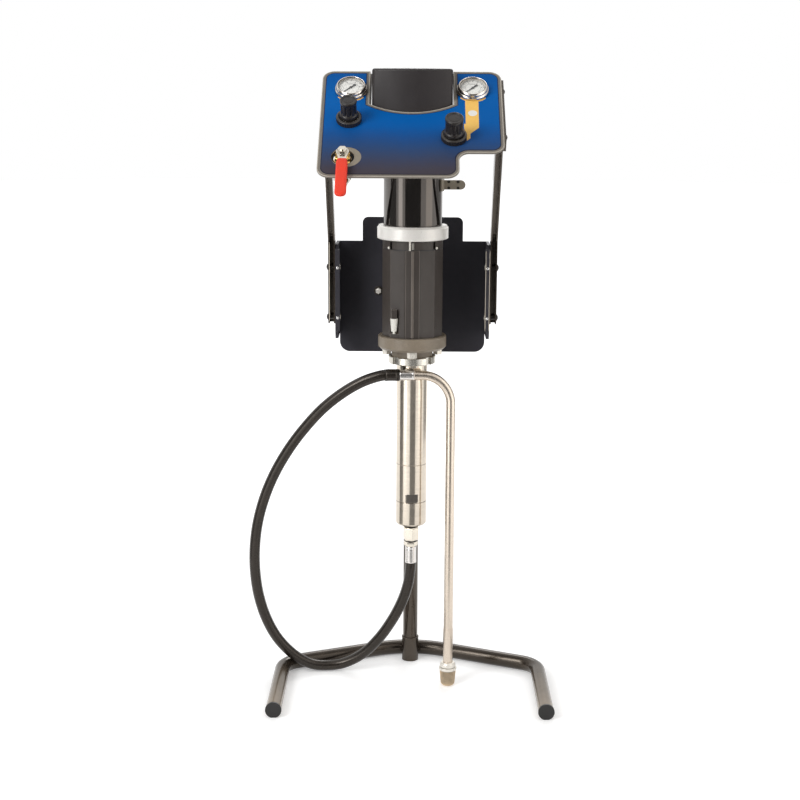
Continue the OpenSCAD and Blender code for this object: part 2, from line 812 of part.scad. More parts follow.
// Bored ball, stem, steel tongue of the lever and its nut, turning as one.
module valve_stem() {
  tongue_w = lever_w - 5;
  color("#c4c0b6") on_panel() translate([valve_pos[0], valve_pos[1], 0]) {
    translate([0, 0, valve_axis]) difference() {
      union() {
        sphere(r = valve_ball_r);
        cylinder(r = stem_r, h = lever_z - valve_axis + tongue_t + 7);
      }
      rotate([90, 0, 0]) cylinder(r = flow_r - 1, h = 60, center = true);
    }
    translate([0, 0, lever_z]) linear_extrude(tongue_t) polygon(concat(arc([0, 0], 10, 0, 180),
      [[-tongue_w / 2, -14], [-tongue_w / 2, 6 - lever_len], [tongue_w / 2, 6 - lever_len],
      [tongue_w / 2, -14]]));
    translate([0, 0, lever_z + tongue_t]) cylinder(r = 7.6, h = 5, $fn = 6);
  }
}

// Grip sleeve on the lever's tongue, round at the free end.
module lever_grip() {
  tongue_w = lever_w - 5;
  half = lever_w / 2;
  slot = 0.1;
  color("#d8321f") on_panel() translate([valve_pos[0], valve_pos[1], lever_z + tongue_t / 2])
    difference() {
      translate([0, 0, -grip_t / 2]) linear_extrude(grip_t)
        polygon(concat([[half - 1, -grip_start], [-half + 1, -grip_start], [-half, -grip_start - 3]],
          arc([0, -lever_len + half], half, 180, 360), [[half, -grip_start - 3]]));
      translate([-tongue_w / 2 - slot, -lever_len + 6 - slot, -tongue_t / 2 - slot])
        cube([tongue_w + 2 * slot, lever_len, tongue_t + 2 * slot]);
    }
}

// Steel nipple and cross tube between the valve and the regulators, and the plastic signal tubes.
module air_lines() {
  nipple_low = valve_pos[1] + valve_len / 2;
  nipple_high = left_reg[1] - reg_half;
  left_flat = left_reg[0] + reg_half;
  right_flat = right_reg[0] + reg_offset - reg_half;
  cross_y = (nipple_low + nipple_high) / 2;
  feed_start = at_panel([left_flat, left_reg[1], signal_z]);
  feed_end = [-25, air_valve_y, air_valve_z + 24];
  color("#2c2b2b") {
    on_panel() {
      translate([valve_pos[0], nipple_low, valve_axis]) rotate([-90, 0, 0])
        cylinder(r = 9, h = nipple_high - nipple_low);
      translate([valve_pos[0], cross_y, valve_axis]) rotate([0, 90, 0])
        cylinder(r = 6, h = right_flat - valve_pos[0]);
      translate([-gauge_x - 0.5, left_reg[1] + reg_half, signal_z]) rotate([-90, 0, 0])
        cylinder(r = 3, h = -gauge_s - 6 - left_reg[1] - reg_half);
      swept_tube(route([[right_reg[0] + 2, right_reg[1] + reg_half, signal_z],
        [right_reg[0] + 2, right_reg[1] + reg_half + 16, signal_z], [84, -112, signal_z],
        [92, -88, signal_z], [gauge_x, -gauge_s - 20, signal_z], [gauge_x, -gauge_s - 6, signal_z]], 2),
        3, [0, 1, 0], [0, 1, 0], [0, 0, 1]);
    }
    placed() swept_tube(route([feed_start, feed_start + [12, 0, 0], [-50, -147, air_valve_z + 45],
      [-35, -140, air_valve_z + 35], feed_end + [-1, -13, 1], feed_end], 2),
      4, [1, 0, 0], [0, 1, 0], [0, 0, 1]);
  }
}

/* Air motor */

module around_axis(count, r, first = 0) {
  for (i = [0 : count - 1]) rotate([0, 0, first + i * 360 / count]) translate([r, 0, 0]) children();
}

// Silver base: carries the motor cylinder, the tie rods and the rod bearing.
module motor_base() {
  r = base_d / 2;
  edge = 1.5;
  color("#d6d4cf") placed() translate([0, 0, z_base]) difference() {
    rotate_extrude() polygon([[0, 0], [r - edge, 0], [r, edge], [r, base_h - edge - 2],
      [r - edge, base_h - 2], [r - edge - 1, base_h], [0, base_h]]);
    translate([0, 0, -1]) cylinder(r = bearing_r, h = base_h + 2);
    around_axis(4, tie_r) translate([0, 0, -1]) cylinder(r = tie_d / 2 + seat, h = base_h - 4);
    both_sides() translate([saddle_screw_x, 42, base_h / 2]) rotate([-90, 0, 0]) cylinder(r = 3, h = 20);
  }
}

module motor_cylinder() {
  color("#121214") placed() translate([0, 0, z_motor]) tube(motor_r, motor_wall, motor_h);
}

// Wrap-round front shroud, narrowing upwards.
module front_shroud() {
  inner = motor_r + seat;
  low = z_motor + 2;
  color("#0e0e10") placed() intersection() {
    translate([0, 0, low]) tube(inner + shroud_t, shroud_t, shroud_h);
    rotate([90, 0, 0]) linear_extrude(motor_d)
      polygon([[-48, low - 1], [48, low - 1], [30, low + shroud_h + 1], [-30, low + shroud_h + 1]]);
  }
}

// Top cap with the exhaust boss at the back and two posts for the hood.
module motor_top_cap() {
  color("#3b3936") placed() difference() {
    union() {
      translate([0, 0, z_cap]) cylinder(r = motor_r + 1.5, h = cap_h / 2);
      translate([0, 0, z_cap]) cylinder(r = motor_r - 8, h = cap_h);
      translate([-20, 10, z_cap]) cube([40, motor_r - 4, cap_h]);
      both_sides() translate([hood_post_x, 25, z_cap]) cylinder(r = 5, h = hood_top - hood_t - z_cap);
    }
    translate([0, 0, z_cap + cap_h / 2]) rotate([-90, 0, 0]) cylinder(r = 6, h = 80);
    translate([0, 0, z_cap - 1]) cylinder(r = 8, h = cap_h / 2 + 1);
  }
}

module muffler() {
  color("#4a4843") placed() translate([0, motor_r + 6, z_cap + cap_h / 2]) rotate([-90, 0, 0])
    difference() {
      union() {
        cylinder(r = 9, h = 8);
        translate([0, 0, 8]) cylinder(r = 15, h = 42);
        translate([0, 0, 50]) cylinder(r1 = 15, r2 = 11, h = 4);
      }
      translate([0, 0, -1]) cylinder(r = 5, h = 45);
    }
}

// Air valve block on the front of the motor, with the spool bore across it and two hood posts.
module air_valve_body() {
  depth = -air_valve_y - motor_r + 4.5;
  color("#5a5751") placed() difference() {
    union() {
      translate([-air_valve_half, air_valve_y, air_valve_z]) cube([2 * air_valve_half, depth, air_valve_h]);
      both_sides() translate([hood_post_x, air_valve_y + 14, air_valve_z])
        cylinder(r = 5, h = hood_top - hood_t - air_valve_z);
    }
    translate([0, 0, air_valve_z - 1]) cylinder(r = motor_r + 1.5 + seat, h = air_valve_h + 2);
    translate([-air_valve_half - 1, spool_y, spool_z]) rotate([0, 90, 0])
      cylinder(r = spool_r, h = 2 * air_valve_half - 3);
    translate([-25, air_valve_y - 1, air_valve_z + 24]) rotate([-90, 0, 0]) cylinder(r = 3, h = 20);
  }
}

// Spool with two waists, sliding across the valve.
module valve_spool() {
  r = spool_r - run;
  color("#b9b9b6") placed() translate([-air_valve_half + 4, spool_y, spool_z]) rotate([0, 90, 0])
    rotate_extrude() polygon([[0, 0], [r, 0], [r, 16], [r - 3, 18], [r - 3, 28], [r, 30], [r, 38],
      [r - 3, 40], [r - 3, 50], [r, 52], [r, 66], [0, 66]]);
}

// Plan of the hood, drawn in by i: round at the back, straight sides, bowed front.
module hood_plan(i) {
  bow = acos((hood_half - i) / (hood_bow_r - i));
  polygon(concat(arc([0, 0], hood_half - i, 0, 180, 24),
    arc([0, hood_bow_c], hood_bow_r - i, 180 + bow, 360 - bow, 12)));
}

module motor_hood() {
  color("#2f2c2d") placed() translate([hood_shift, 0, 0]) difference() {
    translate([0, 0, hood_z]) linear_extrude(hood_top - hood_z) hood_plan(0);
    translate([0, 0, hood_z - 1]) linear_extrude(hood_top - hood_z - hood_t + 1) hood_plan(hood_t);
  }
}

// Side lug: a strap on the motor with a plate and four screws that carries accessories.
module accessory_lug() {
  inner = motor_r + seat;
  color("#6d6459") placed() translate([0, 0, z_motor + 58]) {
    rotate([0, 0, -25]) rotate_extrude(angle = 50) translate([inner, 0]) square([2.2, 20]);
    translate([0, 2.5, 2]) rotate([90, 0, 0]) {
      linear_extrude(5)
        polygon(concat([[inner + 1, 0]], arc([lug_reach - 8, 8], 8, -90, 90), [[inner + 1, 16]]));
      for (x = [60.6, 76.4], z = [2.6, 13.4]) translate([x, z, 0]) cylinder(r = 2.4, h = 6);
    }
  }
}

module motor_piston() {
  r = motor_r - motor_wall - run;
  color("#9b9a96") placed() translate([0, 0, motor_piston_z]) rotate_extrude()
    polygon([[stud_r + run, 0], [r - 1, 0], [r, 1], [r, 8], [r - 3, 8], [r - 3, 12], [r, 12], [r, 18],
      [r - 3, 18], [r - 3, 22], [r, 22], [r, motor_piston_h - 1], [r - 1, motor_piston_h],
      [stud_r + run, motor_piston_h]]);
}

// Piston rod with its stud and nut on top of the piston.
module piston_rod() {
  color("#d0d0ce") placed() {
    translate([0, 0, rod_top_z + 2]) cylinder(r = piston_rod_r, h = motor_piston_z - rod_top_z - 2);
    translate([0, 0, motor_piston_z - eps]) cylinder(r = stud_r, h = motor_piston_h + 12);
    translate([0, 0, motor_piston_z + motor_piston_h]) cylinder(r = 13, h = 10, $fn = 6);
  }
}

// Castellated collar between the shields and the motor base, open at the tie rods.
module motor_collar() {
  teeth = 8;
  color("#262321") placed() translate([0, 0, z_collar]) difference() {
    tube(shield_reach, 3, collar_h);
    around_axis(teeth, shield_reach) translate([-5, -2.5, -1]) cube([10, 5, collar_h - 2]);
    around_axis(4, tie_r) translate([0, 0, -1]) cylinder(r = tie_d / 2 + seat, h = collar_h + 2);
  }
}

/* Linkage */

// Four tie rods with nuts under the outlet housing, screwed into the motor base.
module tie_rods() {
  low = z_flange - tie_nut_h;
  color("#cfcfcc") placed() around_axis(4, tie_r) {
    translate([0, 0, low]) cylinder(r = tie_d / 2, h = z_motor - 6 - low);
    translate([0, 0, low]) rotate([0, 0, 30]) cylinder(r = tie_nut_r, h = tie_nut_h, $fn = 6);
  }
}

module shield_outline() {
  n = len(shield_half_pts);
  right = concat(shield_half_pts,
    [for (i = [n - 1 : -1 : 0]) [shield_half_pts[i][0], -shield_half_pts[i][1]]]);
  left = [for (i = [2 * n - 2 : -1 : 1]) [-right[i][0], right[i][1]]];
  polygon(concat(right, left));
}

// Right half of the faceted shell; the left one is its mirror.
module shield_half() {
  translate([0, 0, z_shield - step_h]) linear_extrude(shield_h + step_h) intersection() {
    difference() {
      shield_outline();
      offset(delta = -shield_wall) shield_outline();
    }
    translate([shield_seam / 2, -80]) square([80, 160]);
  }
}

module shield_right() {
  color("#4b4643") placed() shield_half();
}

// The left half has the window and the clip of the seal-fluid cup.
module shield_left() {
  color("#4b4643") placed() difference() {
    union() {
      mirror([1, 0, 0]) shield_half();
      translate([cup_pos[0] - 4.5, cup_pos[1] - 5, z_shield + cup_top + seat]) cube([9, 12, 15]);
    }
    translate([cup_pos[0] - 7.5, cup_pos[1] - 10, z_shield - 1]) cube([15, 18, cup_top + seat + 1]);
  }
}

module seal_fluid_cup() {
  color("#eceae4") placed() translate([cup_pos[0], cup_pos[1], z_shield]) rotate_extrude()
    polygon([[0, seat], [2.4, seat], [2.4, 4], [cup_r - 2, 4], [cup_r - 1.4, 5.5], [cup_r, cup_top - 3],
      [cup_r, cup_top], [0, cup_top]]);
}

// Coupling that joins the piston rod to the displacement rod.
module coupling_nut() {
  color("#8f8d88") placed() translate([0, 0, coupling_z]) difference() {
    union() {
      cylinder(r = 22, h = 26, $fn = 6);
      translate([0, 0, 26 - eps]) cylinder(r = 18, h = coupling_h - 26 + eps);
    }
    translate([0, 0, -1]) cylinder(r = pump_rod_r + run, h = rod_top_z - coupling_z + 2);
    translate([0, 0, -1]) cylinder(r = piston_rod_r + run, h = coupling_h + 2);
  }
}

// Mouth of the fluid outlet, its axis along +Z: on the flange's right side, sloping down.
module at_outlet() {
  rotate([0, 0, outlet_turn]) translate([flange_d / 2 + 0.5, 0, outlet_z]) rotate([0, 90 + outlet_drop, 0])
    children();
}

// Cast outlet housing: spigot and neck below, flange above, outlet port on the right.
module outlet_housing() {
  r = flange_d / 2;
  neck_r = collar_r + 0.2;
  low = z_neck - spigot_h;
  step = z_shield - step_h;
  color("#6b6359") placed() difference() {
    union() {
      rotate_extrude() polygon([[0, low], [collar_r, low], [collar_r, z_neck], [neck_r, z_neck],
        [neck_r, z_flange], [r - 4, z_flange], [r, z_flange + 4], [r, step - 1.5], [r - 1.5, step],
        [step_r, step], [step_r, z_shield], [0, z_shield]]);
      at_outlet() translate([0, 0, -outlet_depth]) cylinder(r = 9.8, h = outlet_depth);
    }
    translate([0, 0, low - 1]) cylinder(r = 17, h = cavity_top - low + 1);
    translate([0, 0, cavity_top - 1]) cylinder(r = gland_r, h = 60);
    at_outlet() translate([0, 0, -outlet_depth]) cylinder(r = outlet_r, h = outlet_depth + 1);
    translate([0, 0, outlet_z]) rotate([0, 90, outlet_turn]) cylinder(r = 5, h = r - outlet_depth + 4);
    around_axis(4, tie_r) translate([0, 0, z_flange - 1]) cylinder(r = tie_d / 2 + run, h = flange_h + 2);
  }
}

// Rod seals: the pump's packing and gland, and the bearing in the motor base.
module rod_seals() {
  color("#c7b48a") placed() {
    translate([0, 0, cavity_top]) tube(gland_r - run, gland_r - pump_rod_r - 2 * run, 12);
    translate([0, 0, cavity_top + 12]) tube(gland_r - run, gland_r - pump_rod_r - seat, 6);
    translate([0, 0, z_base + 2]) tube(bearing_r - run, bearing_r - piston_rod_r - 2 * run, base_h - 4);
  }
}

/* Pump */

// Slotted ring nut that draws the cylinder's collar up to the housing.
module ring_nut() {
  r = ring_nut_d / 2;
  color("#b3b1ab") placed() translate([0, 0, z_nut]) difference() {
    rotate_extrude() polygon([[pump_r + seat, 0], [r - 1, 0], [r, 1], [r, ring_nut_h - 1],
      [r - 1, ring_nut_h], [collar_r + seat, ring_nut_h], [collar_r + seat, lip_h],
      [pump_r + seat, lip_h]]);
    around_axis(4, r, 45) translate([-4, -6, -1]) cube([10, 12, ring_nut_h + 2]);
  }
}

module upper_cylinder() {
  top = z_nut + lip_h;
  edge = 0.6;
  color("#b9b6ae") placed() rotate_extrude() polygon([[pump_bore_r, z_middle], [pump_r - edge, z_middle],
    [pump_r, z_middle + edge], [pump_r, top], [collar_r, top], [collar_r, z_neck - spigot_h],
    [pump_bore_r, z_neck - spigot_h]]);
}

// Middle cylinder: wrench flats at its lower end and the stop for the intake ball.
module middle_cylinder() {
  edge = 0.6;
  flat = pump_r * 0.93;
  flat_h = 15;
  color("#b9b6ae") placed() difference() {
    rotate_extrude() polygon([[3, z_lower], [pump_r - edge, z_lower], [pump_r, z_lower + edge],
      [pump_r, z_middle - edge], [pump_r - edge, z_middle], [pump_bore_r, z_middle],
      [pump_bore_r, z_lower + 4], [3, z_lower + 4]]);
    for (a = [0, 180]) rotate([0, 0, a]) translate([-pump_r, -pump_r - 10, z_lower - 1])
      cube([pump_d, 10 + pump_r - flat, flat_h + 1]);
    around_axis(6, 10) translate([0, 0, z_lower - 1]) cylinder(r = 3.5, h = 6);
  }
}

// Intake housing: inlet thread below, seat and cage of the intake ball above.
module intake_housing() {
  color("#b9b6ae") placed() difference() {
    rotate_extrude() polygon([[intake_seat_r, pump_z], [pump_r - 2.5, pump_z], [pump_r, pump_z + 3],
      [pump_r, z_lower - 0.6], [pump_r - 0.6, z_lower], [intake_cage_r, z_lower],
      [intake_cage_r, intake_seat_z], [intake_seat_r, intake_seat_z]]);
    translate([0, 0, pump_z - 1]) cylinder(r = inlet_thread_r, h = 13);
  }
}

module displacement_rod() {
  low = piston_z + piston_h;
  color("#d0d0ce") placed() difference() {
    translate([0, 0, low]) cylinder(r = pump_rod_r, h = rod_top_z - low);
    translate([0, 0, low - 1]) cylinder(r = 6, h = 19);
    translate([0, 0, low + 12]) rotate([90, 0, 0]) cylinder(r = 3.5, h = 60, center = true);
  }
}

// Pump piston with the seat and cage of the piston ball.
module pump_piston() {
  r = pump_bore_r - run;
  color("#8b8983") placed() translate([0, 0, piston_z]) rotate_extrude()
    polygon([[piston_seat_r, 0], [r - 1, 0], [r, 1], [r, 9], [r - 2, 9], [r - 2, 13], [r, 13], [r, 17],
      [r - 2, 17], [r - 2, 21], [r, 21], [r, piston_h - 1], [r - 1, piston_h], [6, piston_h],
      [6, piston_h - 6], [piston_cage_r, piston_h - 6], [piston_cage_r, piston_cage_z - piston_z],
      [piston_seat_r, piston_cage_z - piston_z]]);
}

module piston_ball() {
  rise = sqrt(piston_ball_r * piston_ball_r - piston_seat_r * piston_seat_r) + seat;
  color("#dedede") placed() translate([0, 0, piston_cage_z + rise]) sphere(r = piston_ball_r);
}

module intake_ball() {
  rise = sqrt(intake_ball_r * intake_ball_r - intake_seat_r * intake_seat_r) + seat;
  color("#dedede") placed() translate([0, 0, intake_seat_z + rise]) sphere(r = intake_ball_r);
}

/* Suction */

// Nipple and collar in the intake, then the hexagon and swivel of the hose union.
module inlet_fittings() {
  color("#b5b2aa") placed() translate([0, 0, pump_z]) difference() {
    union() {
      cylinder(r = inlet_thread_r - seat, h = 10);
      translate([0, 0, fitting_z[1]]) cylinder(r = 11.5, h = -fitting_z[1] + eps);
      translate([0, 0, fitting_z[2]]) cylinder(r = 14.2, h = fitting_z[1] - fitting_z[2] + eps);
      translate([0, 0, fitting_z[3]]) cylinder(r = 14.5, h = fitting_z[2] - fitting_z[3] + eps, $fn = 6);
      translate([0, 0, fitting_z[4]]) cylinder(r = 12.5, h = fitting_z[3] - fitting_z[4] + eps);
    }
    translate([0, 0, fitting_z[4] - 1]) cylinder(r = 6, h = 80);
  }
}

// Crimped ferrule along +Z from z = 0.
module ferrule(d, h) {
  r = d / 2;
  rotate_extrude() polygon([[0, 0], [r - 0.6, 0], [r, 1], [r, h * 0.2], [r - 0.5, h * 0.26],
    [r - 0.5, h * 0.34], [r, h * 0.4], [r, h * 0.6], [r - 0.5, h * 0.66], [r - 0.5, h * 0.74],
    [r, h * 0.8], [r, h - 1], [r - 0.6, h], [0, h]]);
}

module hose_ferrules() {
  color("#b8b6b0") placed() {
    translate([0, 0, pump_z + fitting_z[5]]) ferrule(lower_ferrule_d, fitting_z[4] - fitting_z[5]);
    translate([upper_ferrule_x[0], tube_y, hook_z]) rotate([0, 90, 0])
      ferrule(ferrule_d, upper_ferrule_x[1] - upper_ferrule_x[0]);
  }
}

module suction_hose() {
  color("#1d1b1a") placed() swept_tube(route(hose_route, hose_steps),
    hose_d / 2, [0, 0, -1], [1, 0, 0], [0, 1, 0]);
}

// Stainless tube: along the front of the pump, round the hook and down to the strainer.
module suction_tube() {
  sleeve_h = 63;
  top_z = hook_z - hook_r;
  foot_z = strainer_h + strainer_collar_h;
  hook_x = tube_x - hook_r;
  color("#c3bfb6") placed() translate([0, tube_y, 0]) {
    translate([upper_ferrule_x[1], 0, hook_z]) rotate([0, 90, 0])
      tube(tube_d / 2, tube_wall, hook_x - upper_ferrule_x[1]);
    translate([hook_x, 0, top_z]) rotate([90, 0, 0]) rotate_extrude(angle = 90) translate([hook_r, 0])
      difference() {
        circle(tube_d / 2);
        circle(tube_d / 2 - tube_wall);
      }
    translate([tube_x, 0, foot_z + sleeve_h]) tube(tube_d / 2, tube_wall, top_z - foot_z - sleeve_h);
    translate([tube_x, 0, foot_z]) tube(tube_d / 2 + 0.6, tube_wall + 0.6, sleeve_h);
  }
}

module strainer_collar() {
  r = strainer_d / 2;
  h = strainer_collar_h;
  color("#e2dfd8") placed() translate([tube_x, tube_y, strainer_h]) rotate_extrude()
    polygon([[6, 0], [r - 2.6, 0], [r - 1.8, 1], [r - 1.8, h - 3.5], [r - 4.5, h], [6, h]]);
}

// Tapered basket on the floor, open under the collar.
module strainer_basket() {
  r = strainer_d / 2;
  wall = 1.2;
  color("#8d8578") placed() translate([tube_x, tube_y, 0]) rotate_extrude()
    polygon([[0, 0], [r - 5.5, 0], [r - 3.2, 2], [r - 2, 8], [r - 1.2, strainer_h - 6],
      [r, strainer_h - 5], [r, strainer_h - 1], [r - 0.6, strainer_h], [r - 3.4, strainer_h],
      [r - 3.4, 8], [r - 4.6, 3], [r - 6, wall], [0, wall]]);
}

base_tube_left();
base_tube_right();
stand_post();
tube_plugs();
plate_bolts();
bracket_plate();
left_arm();
right_arm();
arm_bolts();
saddle_block();
console_frame();
panel_plate();
panel_overlay();
gauge_cases();
gauge_dials();
left_pointer();
right_pointer();
gauge_lenses();
left_regulator();
right_regulator();
left_knob();
right_knob();
knob_rings();
ball_valve_body();
valve_inlet();
valve_stem();
lever_grip();
air_lines();
motor_base();
motor_cylinder();
front_shroud();
motor_top_cap();
air_valve_body();
valve_spool();
motor_hood();
muffler();
accessory_lug();
motor_piston();
piston_rod();
motor_collar();
tie_rods();
shield_left();
shield_right();
seal_fluid_cup();
coupling_nut();
outlet_housing();
ring_nut();
rod_seals();
upper_cylinder();
middle_cylinder();
intake_housing();
displacement_rod();
pump_piston();
piston_ball();
intake_ball();
inlet_fittings();
hose_ferrules();
suction_hose();
suction_tube();
strainer_collar();
strainer_basket();
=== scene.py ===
"""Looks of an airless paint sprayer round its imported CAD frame. Metres, +Z up, the front faces -Y."""

import math

import bpy
from mathutils import Matrix, Vector


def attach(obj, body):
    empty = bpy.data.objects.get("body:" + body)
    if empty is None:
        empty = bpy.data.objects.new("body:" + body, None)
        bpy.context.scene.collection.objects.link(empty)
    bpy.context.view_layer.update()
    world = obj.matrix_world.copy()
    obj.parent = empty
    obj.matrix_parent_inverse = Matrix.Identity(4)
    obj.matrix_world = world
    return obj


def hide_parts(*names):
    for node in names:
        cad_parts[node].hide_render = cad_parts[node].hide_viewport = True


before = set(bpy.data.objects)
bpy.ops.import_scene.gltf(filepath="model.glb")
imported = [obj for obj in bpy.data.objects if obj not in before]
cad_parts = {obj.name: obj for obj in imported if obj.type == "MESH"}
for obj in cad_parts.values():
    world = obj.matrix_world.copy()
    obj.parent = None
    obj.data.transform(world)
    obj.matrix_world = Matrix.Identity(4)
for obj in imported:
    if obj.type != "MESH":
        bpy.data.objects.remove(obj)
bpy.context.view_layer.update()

SCENE = bpy.context.scene
MM = Matrix.Scale(0.001, 4)
TAU = 2 * math.pi
PUMP_Y = 100.59575  # the pump axis behind the frame's origin, in millimetres

# Frames in millimetres: the pump's, and the panel's with x across, y up the slope and z out of the face.
PUMP = Matrix.Translation((0, PUMP_Y, 0))
SLOPE = math.radians(37)
PANEL = Matrix.Translation((-3, PUMP_Y - 66, 1075.7)) @ Matrix.Rotation(SLOPE, 4, "X")

# Places on the panel's face
VALVE = (-106, -216)
VALVE_HOLE = (-100.6, -216)
GAUGE_X = {"left": -98, "right": 98}
GAUGE_Y = -51
KNOBS = (("left", -99, -127, 26.6), ("right", 66, -170, 29.0))  # side, x, y, diameter

# The suction tube beside the pump's axis, and the height of its level top
TUBE_X, TUBE_Y, HOOK_Z = 67.5, -36.55, 565


def at(x, y, z=0.0, frame_matrix=PANEL):
    return frame_matrix @ Matrix.Translation((x, y, z))


def facing_front(x, y, z):
    """Turns what is lathed about z to stand out of a surface towards the front."""
    return Matrix.Translation((x, y, z)) @ Matrix.Rotation(math.pi / 2, 4, "X")


def put(name, data):
    """A new object in the scene."""
    obj = bpy.data.objects.new(name, data)
    SCENE.collection.objects.link(obj)
    return obj


# ------------ camera


def add_camera():
    """The photo's view, solved from its perspective."""
    place = (0, -2.5214, 1.066)
    yaw, pitch, roll = 0.00784, math.radians(78.1), math.radians(0.28)
    data = bpy.data.cameras.new("camera")
    data.sensor_width = 36
    data.lens = 68.85
    data.clip_end = 60
    camera = put("camera", data)
    camera.matrix_world = (
        Matrix.Translation(place)
        @ Matrix.Rotation(yaw, 4, "Z")
        @ Matrix.Rotation(pitch, 4, "X")
        @ Matrix.Rotation(roll, 4, "Z")
    )
    SCENE.camera = camera


add_camera()

# ------------ materials


def rgb(r, g, b):
    """Linear colour of an sRGB one written 0 to 255."""
    def line(c):
        c /= 255
        return c / 12.92 if c <= 0.04045 else ((c + 0.055) / 1.055) ** 2.4
    return (line(r), line(g), line(b), 1.0)


def shade(colour, factor):
    return tuple(min(1.0, c * factor) for c in colour[:3]) + (1.0,)


class Tree:
    """Shorthand for a material's nodes."""

    def __init__(self, name):
        self.material = bpy.data.materials.new(name)
        self.material.use_nodes = True
        self.tree = self.material.node_tree
        self.shader = self.tree.nodes["Principled BSDF"]
        self.place = self.add("ShaderNodeTexCoord").outputs["Object"]

    def add(self, kind, links=None, values=None, **props):
        n = self.tree.nodes.new(kind)
        for key, value in props.items():
            setattr(n, key, value)
        for key, value in (values or {}).items():
            n.inputs[key].default_value = value
        for key, source in (links or {}).items():
            self.tree.links.new(source, n.inputs[key])
        return n

    def noise(self, scale, detail, rough=0.55, stretch=(1, 1, 1)):
        at_scale = self.add("ShaderNodeMapping", {"Vector": self.place}, {"Scale": stretch})
        return self.add("ShaderNodeTexNoise", {"Vector": at_scale.outputs[0]},
                        {"Scale": scale, "Detail": detail, "Roughness": rough}).outputs["Fac"]

    def axis(self, name):
        return self.add("ShaderNodeSeparateXYZ", {"Vector": self.place}).outputs[name]

    def ramp(self, source, stops):
        n = self.add("ShaderNodeValToRGB", {"Fac": source})
        while len(n.color_ramp.elements) < len(stops):
            n.color_ramp.elements.new(0.5)
        for element, (position, colour) in zip(n.color_ramp.elements, stops):
            element.position = position
            element.color = colour if hasattr(colour, "__len__") else (colour, colour, colour, 1)
        return n.outputs["Color"]

    def feed(self, pairs):
        """Gives each socket its value, or a link where the value is another node's output."""
        for socket, value in pairs:
            if hasattr(value, "is_linked"):
                self.tree.links.new(value, socket)
            else:
                socket.default_value = value

    def mix(self, factor, a, b, blend="MIX"):
        n = self.add("ShaderNodeMix", data_type="RGBA", blend_type=blend)
        self.feed(((n.inputs[0], factor), (n.inputs[6], a), (n.inputs[7], b)))
        return n.outputs[2]

    def math(self, operation, a, b=0.0, c=0.0):
        n = self.add("ShaderNodeMath", operation=operation)
        self.feed(zip(n.inputs, (a, b, c)))
        return n.outputs[0]

    def spread(self, source, low, high, start=0.3, end=0.7):
        return self.add("ShaderNodeMapRange", {"Value": source}, {
            "From Min": start, "From Max": end, "To Min": low, "To Max": high}).outputs[0]

    def bump(self, height, strength, distance=0.0004):
        n = self.add("ShaderNodeBump", {"Height": height}, {"Strength": strength, "Distance": distance})
        self.link(n.outputs[0], "Normal")

    def link(self, source, socket):
        self.tree.links.new(source, self.shader.inputs[socket])

    def set(self, **values):
        for key, value in values.items():
            self.shader.inputs[key.replace("_", " ")].default_value = value


def finish(name, colour, rough, metal=0.0, vary=0.14, patch=22.0, rough_vary=0.09, grain=0.25,
           grain_scale=900.0, grain_depth=0.0003, stretch=(1, 1, 1), dust=None, dust_amount=0.25,
           specular=0.5, **shader):
    """A finish with drifting colour, uneven gloss, a fine relief and, if given, a thin film of dust."""
    t = Tree(name)
    cloud = t.noise(patch, 6, 0.6)
    fine = t.noise(grain_scale, 3, 0.6, stretch)
    base = t.ramp(cloud, [(0.3, shade(colour, 1 - vary)), (0.52, colour), (0.75, shade(colour, 1 + vary))])
    base = t.mix(0.35, base, t.ramp(fine, [(0.25, shade(colour, 0.72)), (0.75, shade(colour, 1.2))]))
    if dust:
        spots = t.ramp(t.noise(patch * 5, 8, 0.7), [(0.5, 0.0), (0.75, 1.0)])
        base = t.mix(t.math("MULTIPLY", spots, dust_amount), base, dust)
    t.link(base, "Base Color")
    smear = t.noise(patch * 2.3, 5, 0.65, stretch if stretch != (1, 1, 1) else (1, 1, 0.5))
    t.link(t.spread(smear, max(0.03, rough - rough_vary), rough + rough_vary), "Roughness")
    t.bump(fine, grain, grain_depth)
    t.set(Metallic=metal, Specular_IOR_Level=specular, **shader)
    return t.material


GREY_DUST = rgb(150, 142, 130)
WARM = (1.0, 0.86, 0.72, 1.0)  # tint of the gloss on the stand's black paint
RINGS = (0.05, 0.05, 1.0)  # a grain that runs round an upright axis

# The lighter copies of the paints below, laid on rounded edges, are painted edge highlights.
STAND = finish("stand_paint", rgb(40, 34, 29), 0.17, vary=0.15, grain=0.06, grain_scale=300,
               rough_vary=0.05, dust=GREY_DUST, dust_amount=0.04, specular=0.85, Specular_Tint=WARM)
STAND_EDGE_HIGHLIGHT = finish("stand_paint_edge_highlight", rgb(70, 63, 56), 0.36, vary=0.25, grain=0.3)
PLATE = finish("plate_paint", rgb(56, 55, 61), 0.5, vary=0.1, grain=0.35, grain_scale=1400, specular=0.22)
PLATE_EDGE_HIGHLIGHT = finish("plate_paint_edge_highlight", rgb(84, 78, 72), 0.42, vary=0.3, grain=0.4)
# Painted highlight for the bright lines along the flange's and the arm's edges.
PAINTED_HIGHLIGHT = finish("painted_highlight", rgb(214, 204, 188), 0.4, 0.3, vary=0.2, patch=90, grain=0.3)
CAST = finish("cast_paint", rgb(134, 122, 106), 0.42, vary=0.16, grain=0.7, grain_scale=420,
              grain_depth=0.0006, dust=rgb(160, 150, 134), dust_amount=0.18)
CAST_HIGHLIGHT = finish("cast_paint_highlight", rgb(168, 158, 142), 0.42, vary=0.2, grain=0.4)
SHIELD = finish("shield_paint", rgb(66, 60, 56), 0.42, vary=0.12, grain=0.5, grain_scale=1100,
                specular=0.35)
SHIELD_EDGE_HIGHLIGHT = finish("shield_paint_edge_highlight", rgb(104, 96, 89), 0.42, vary=0.2)
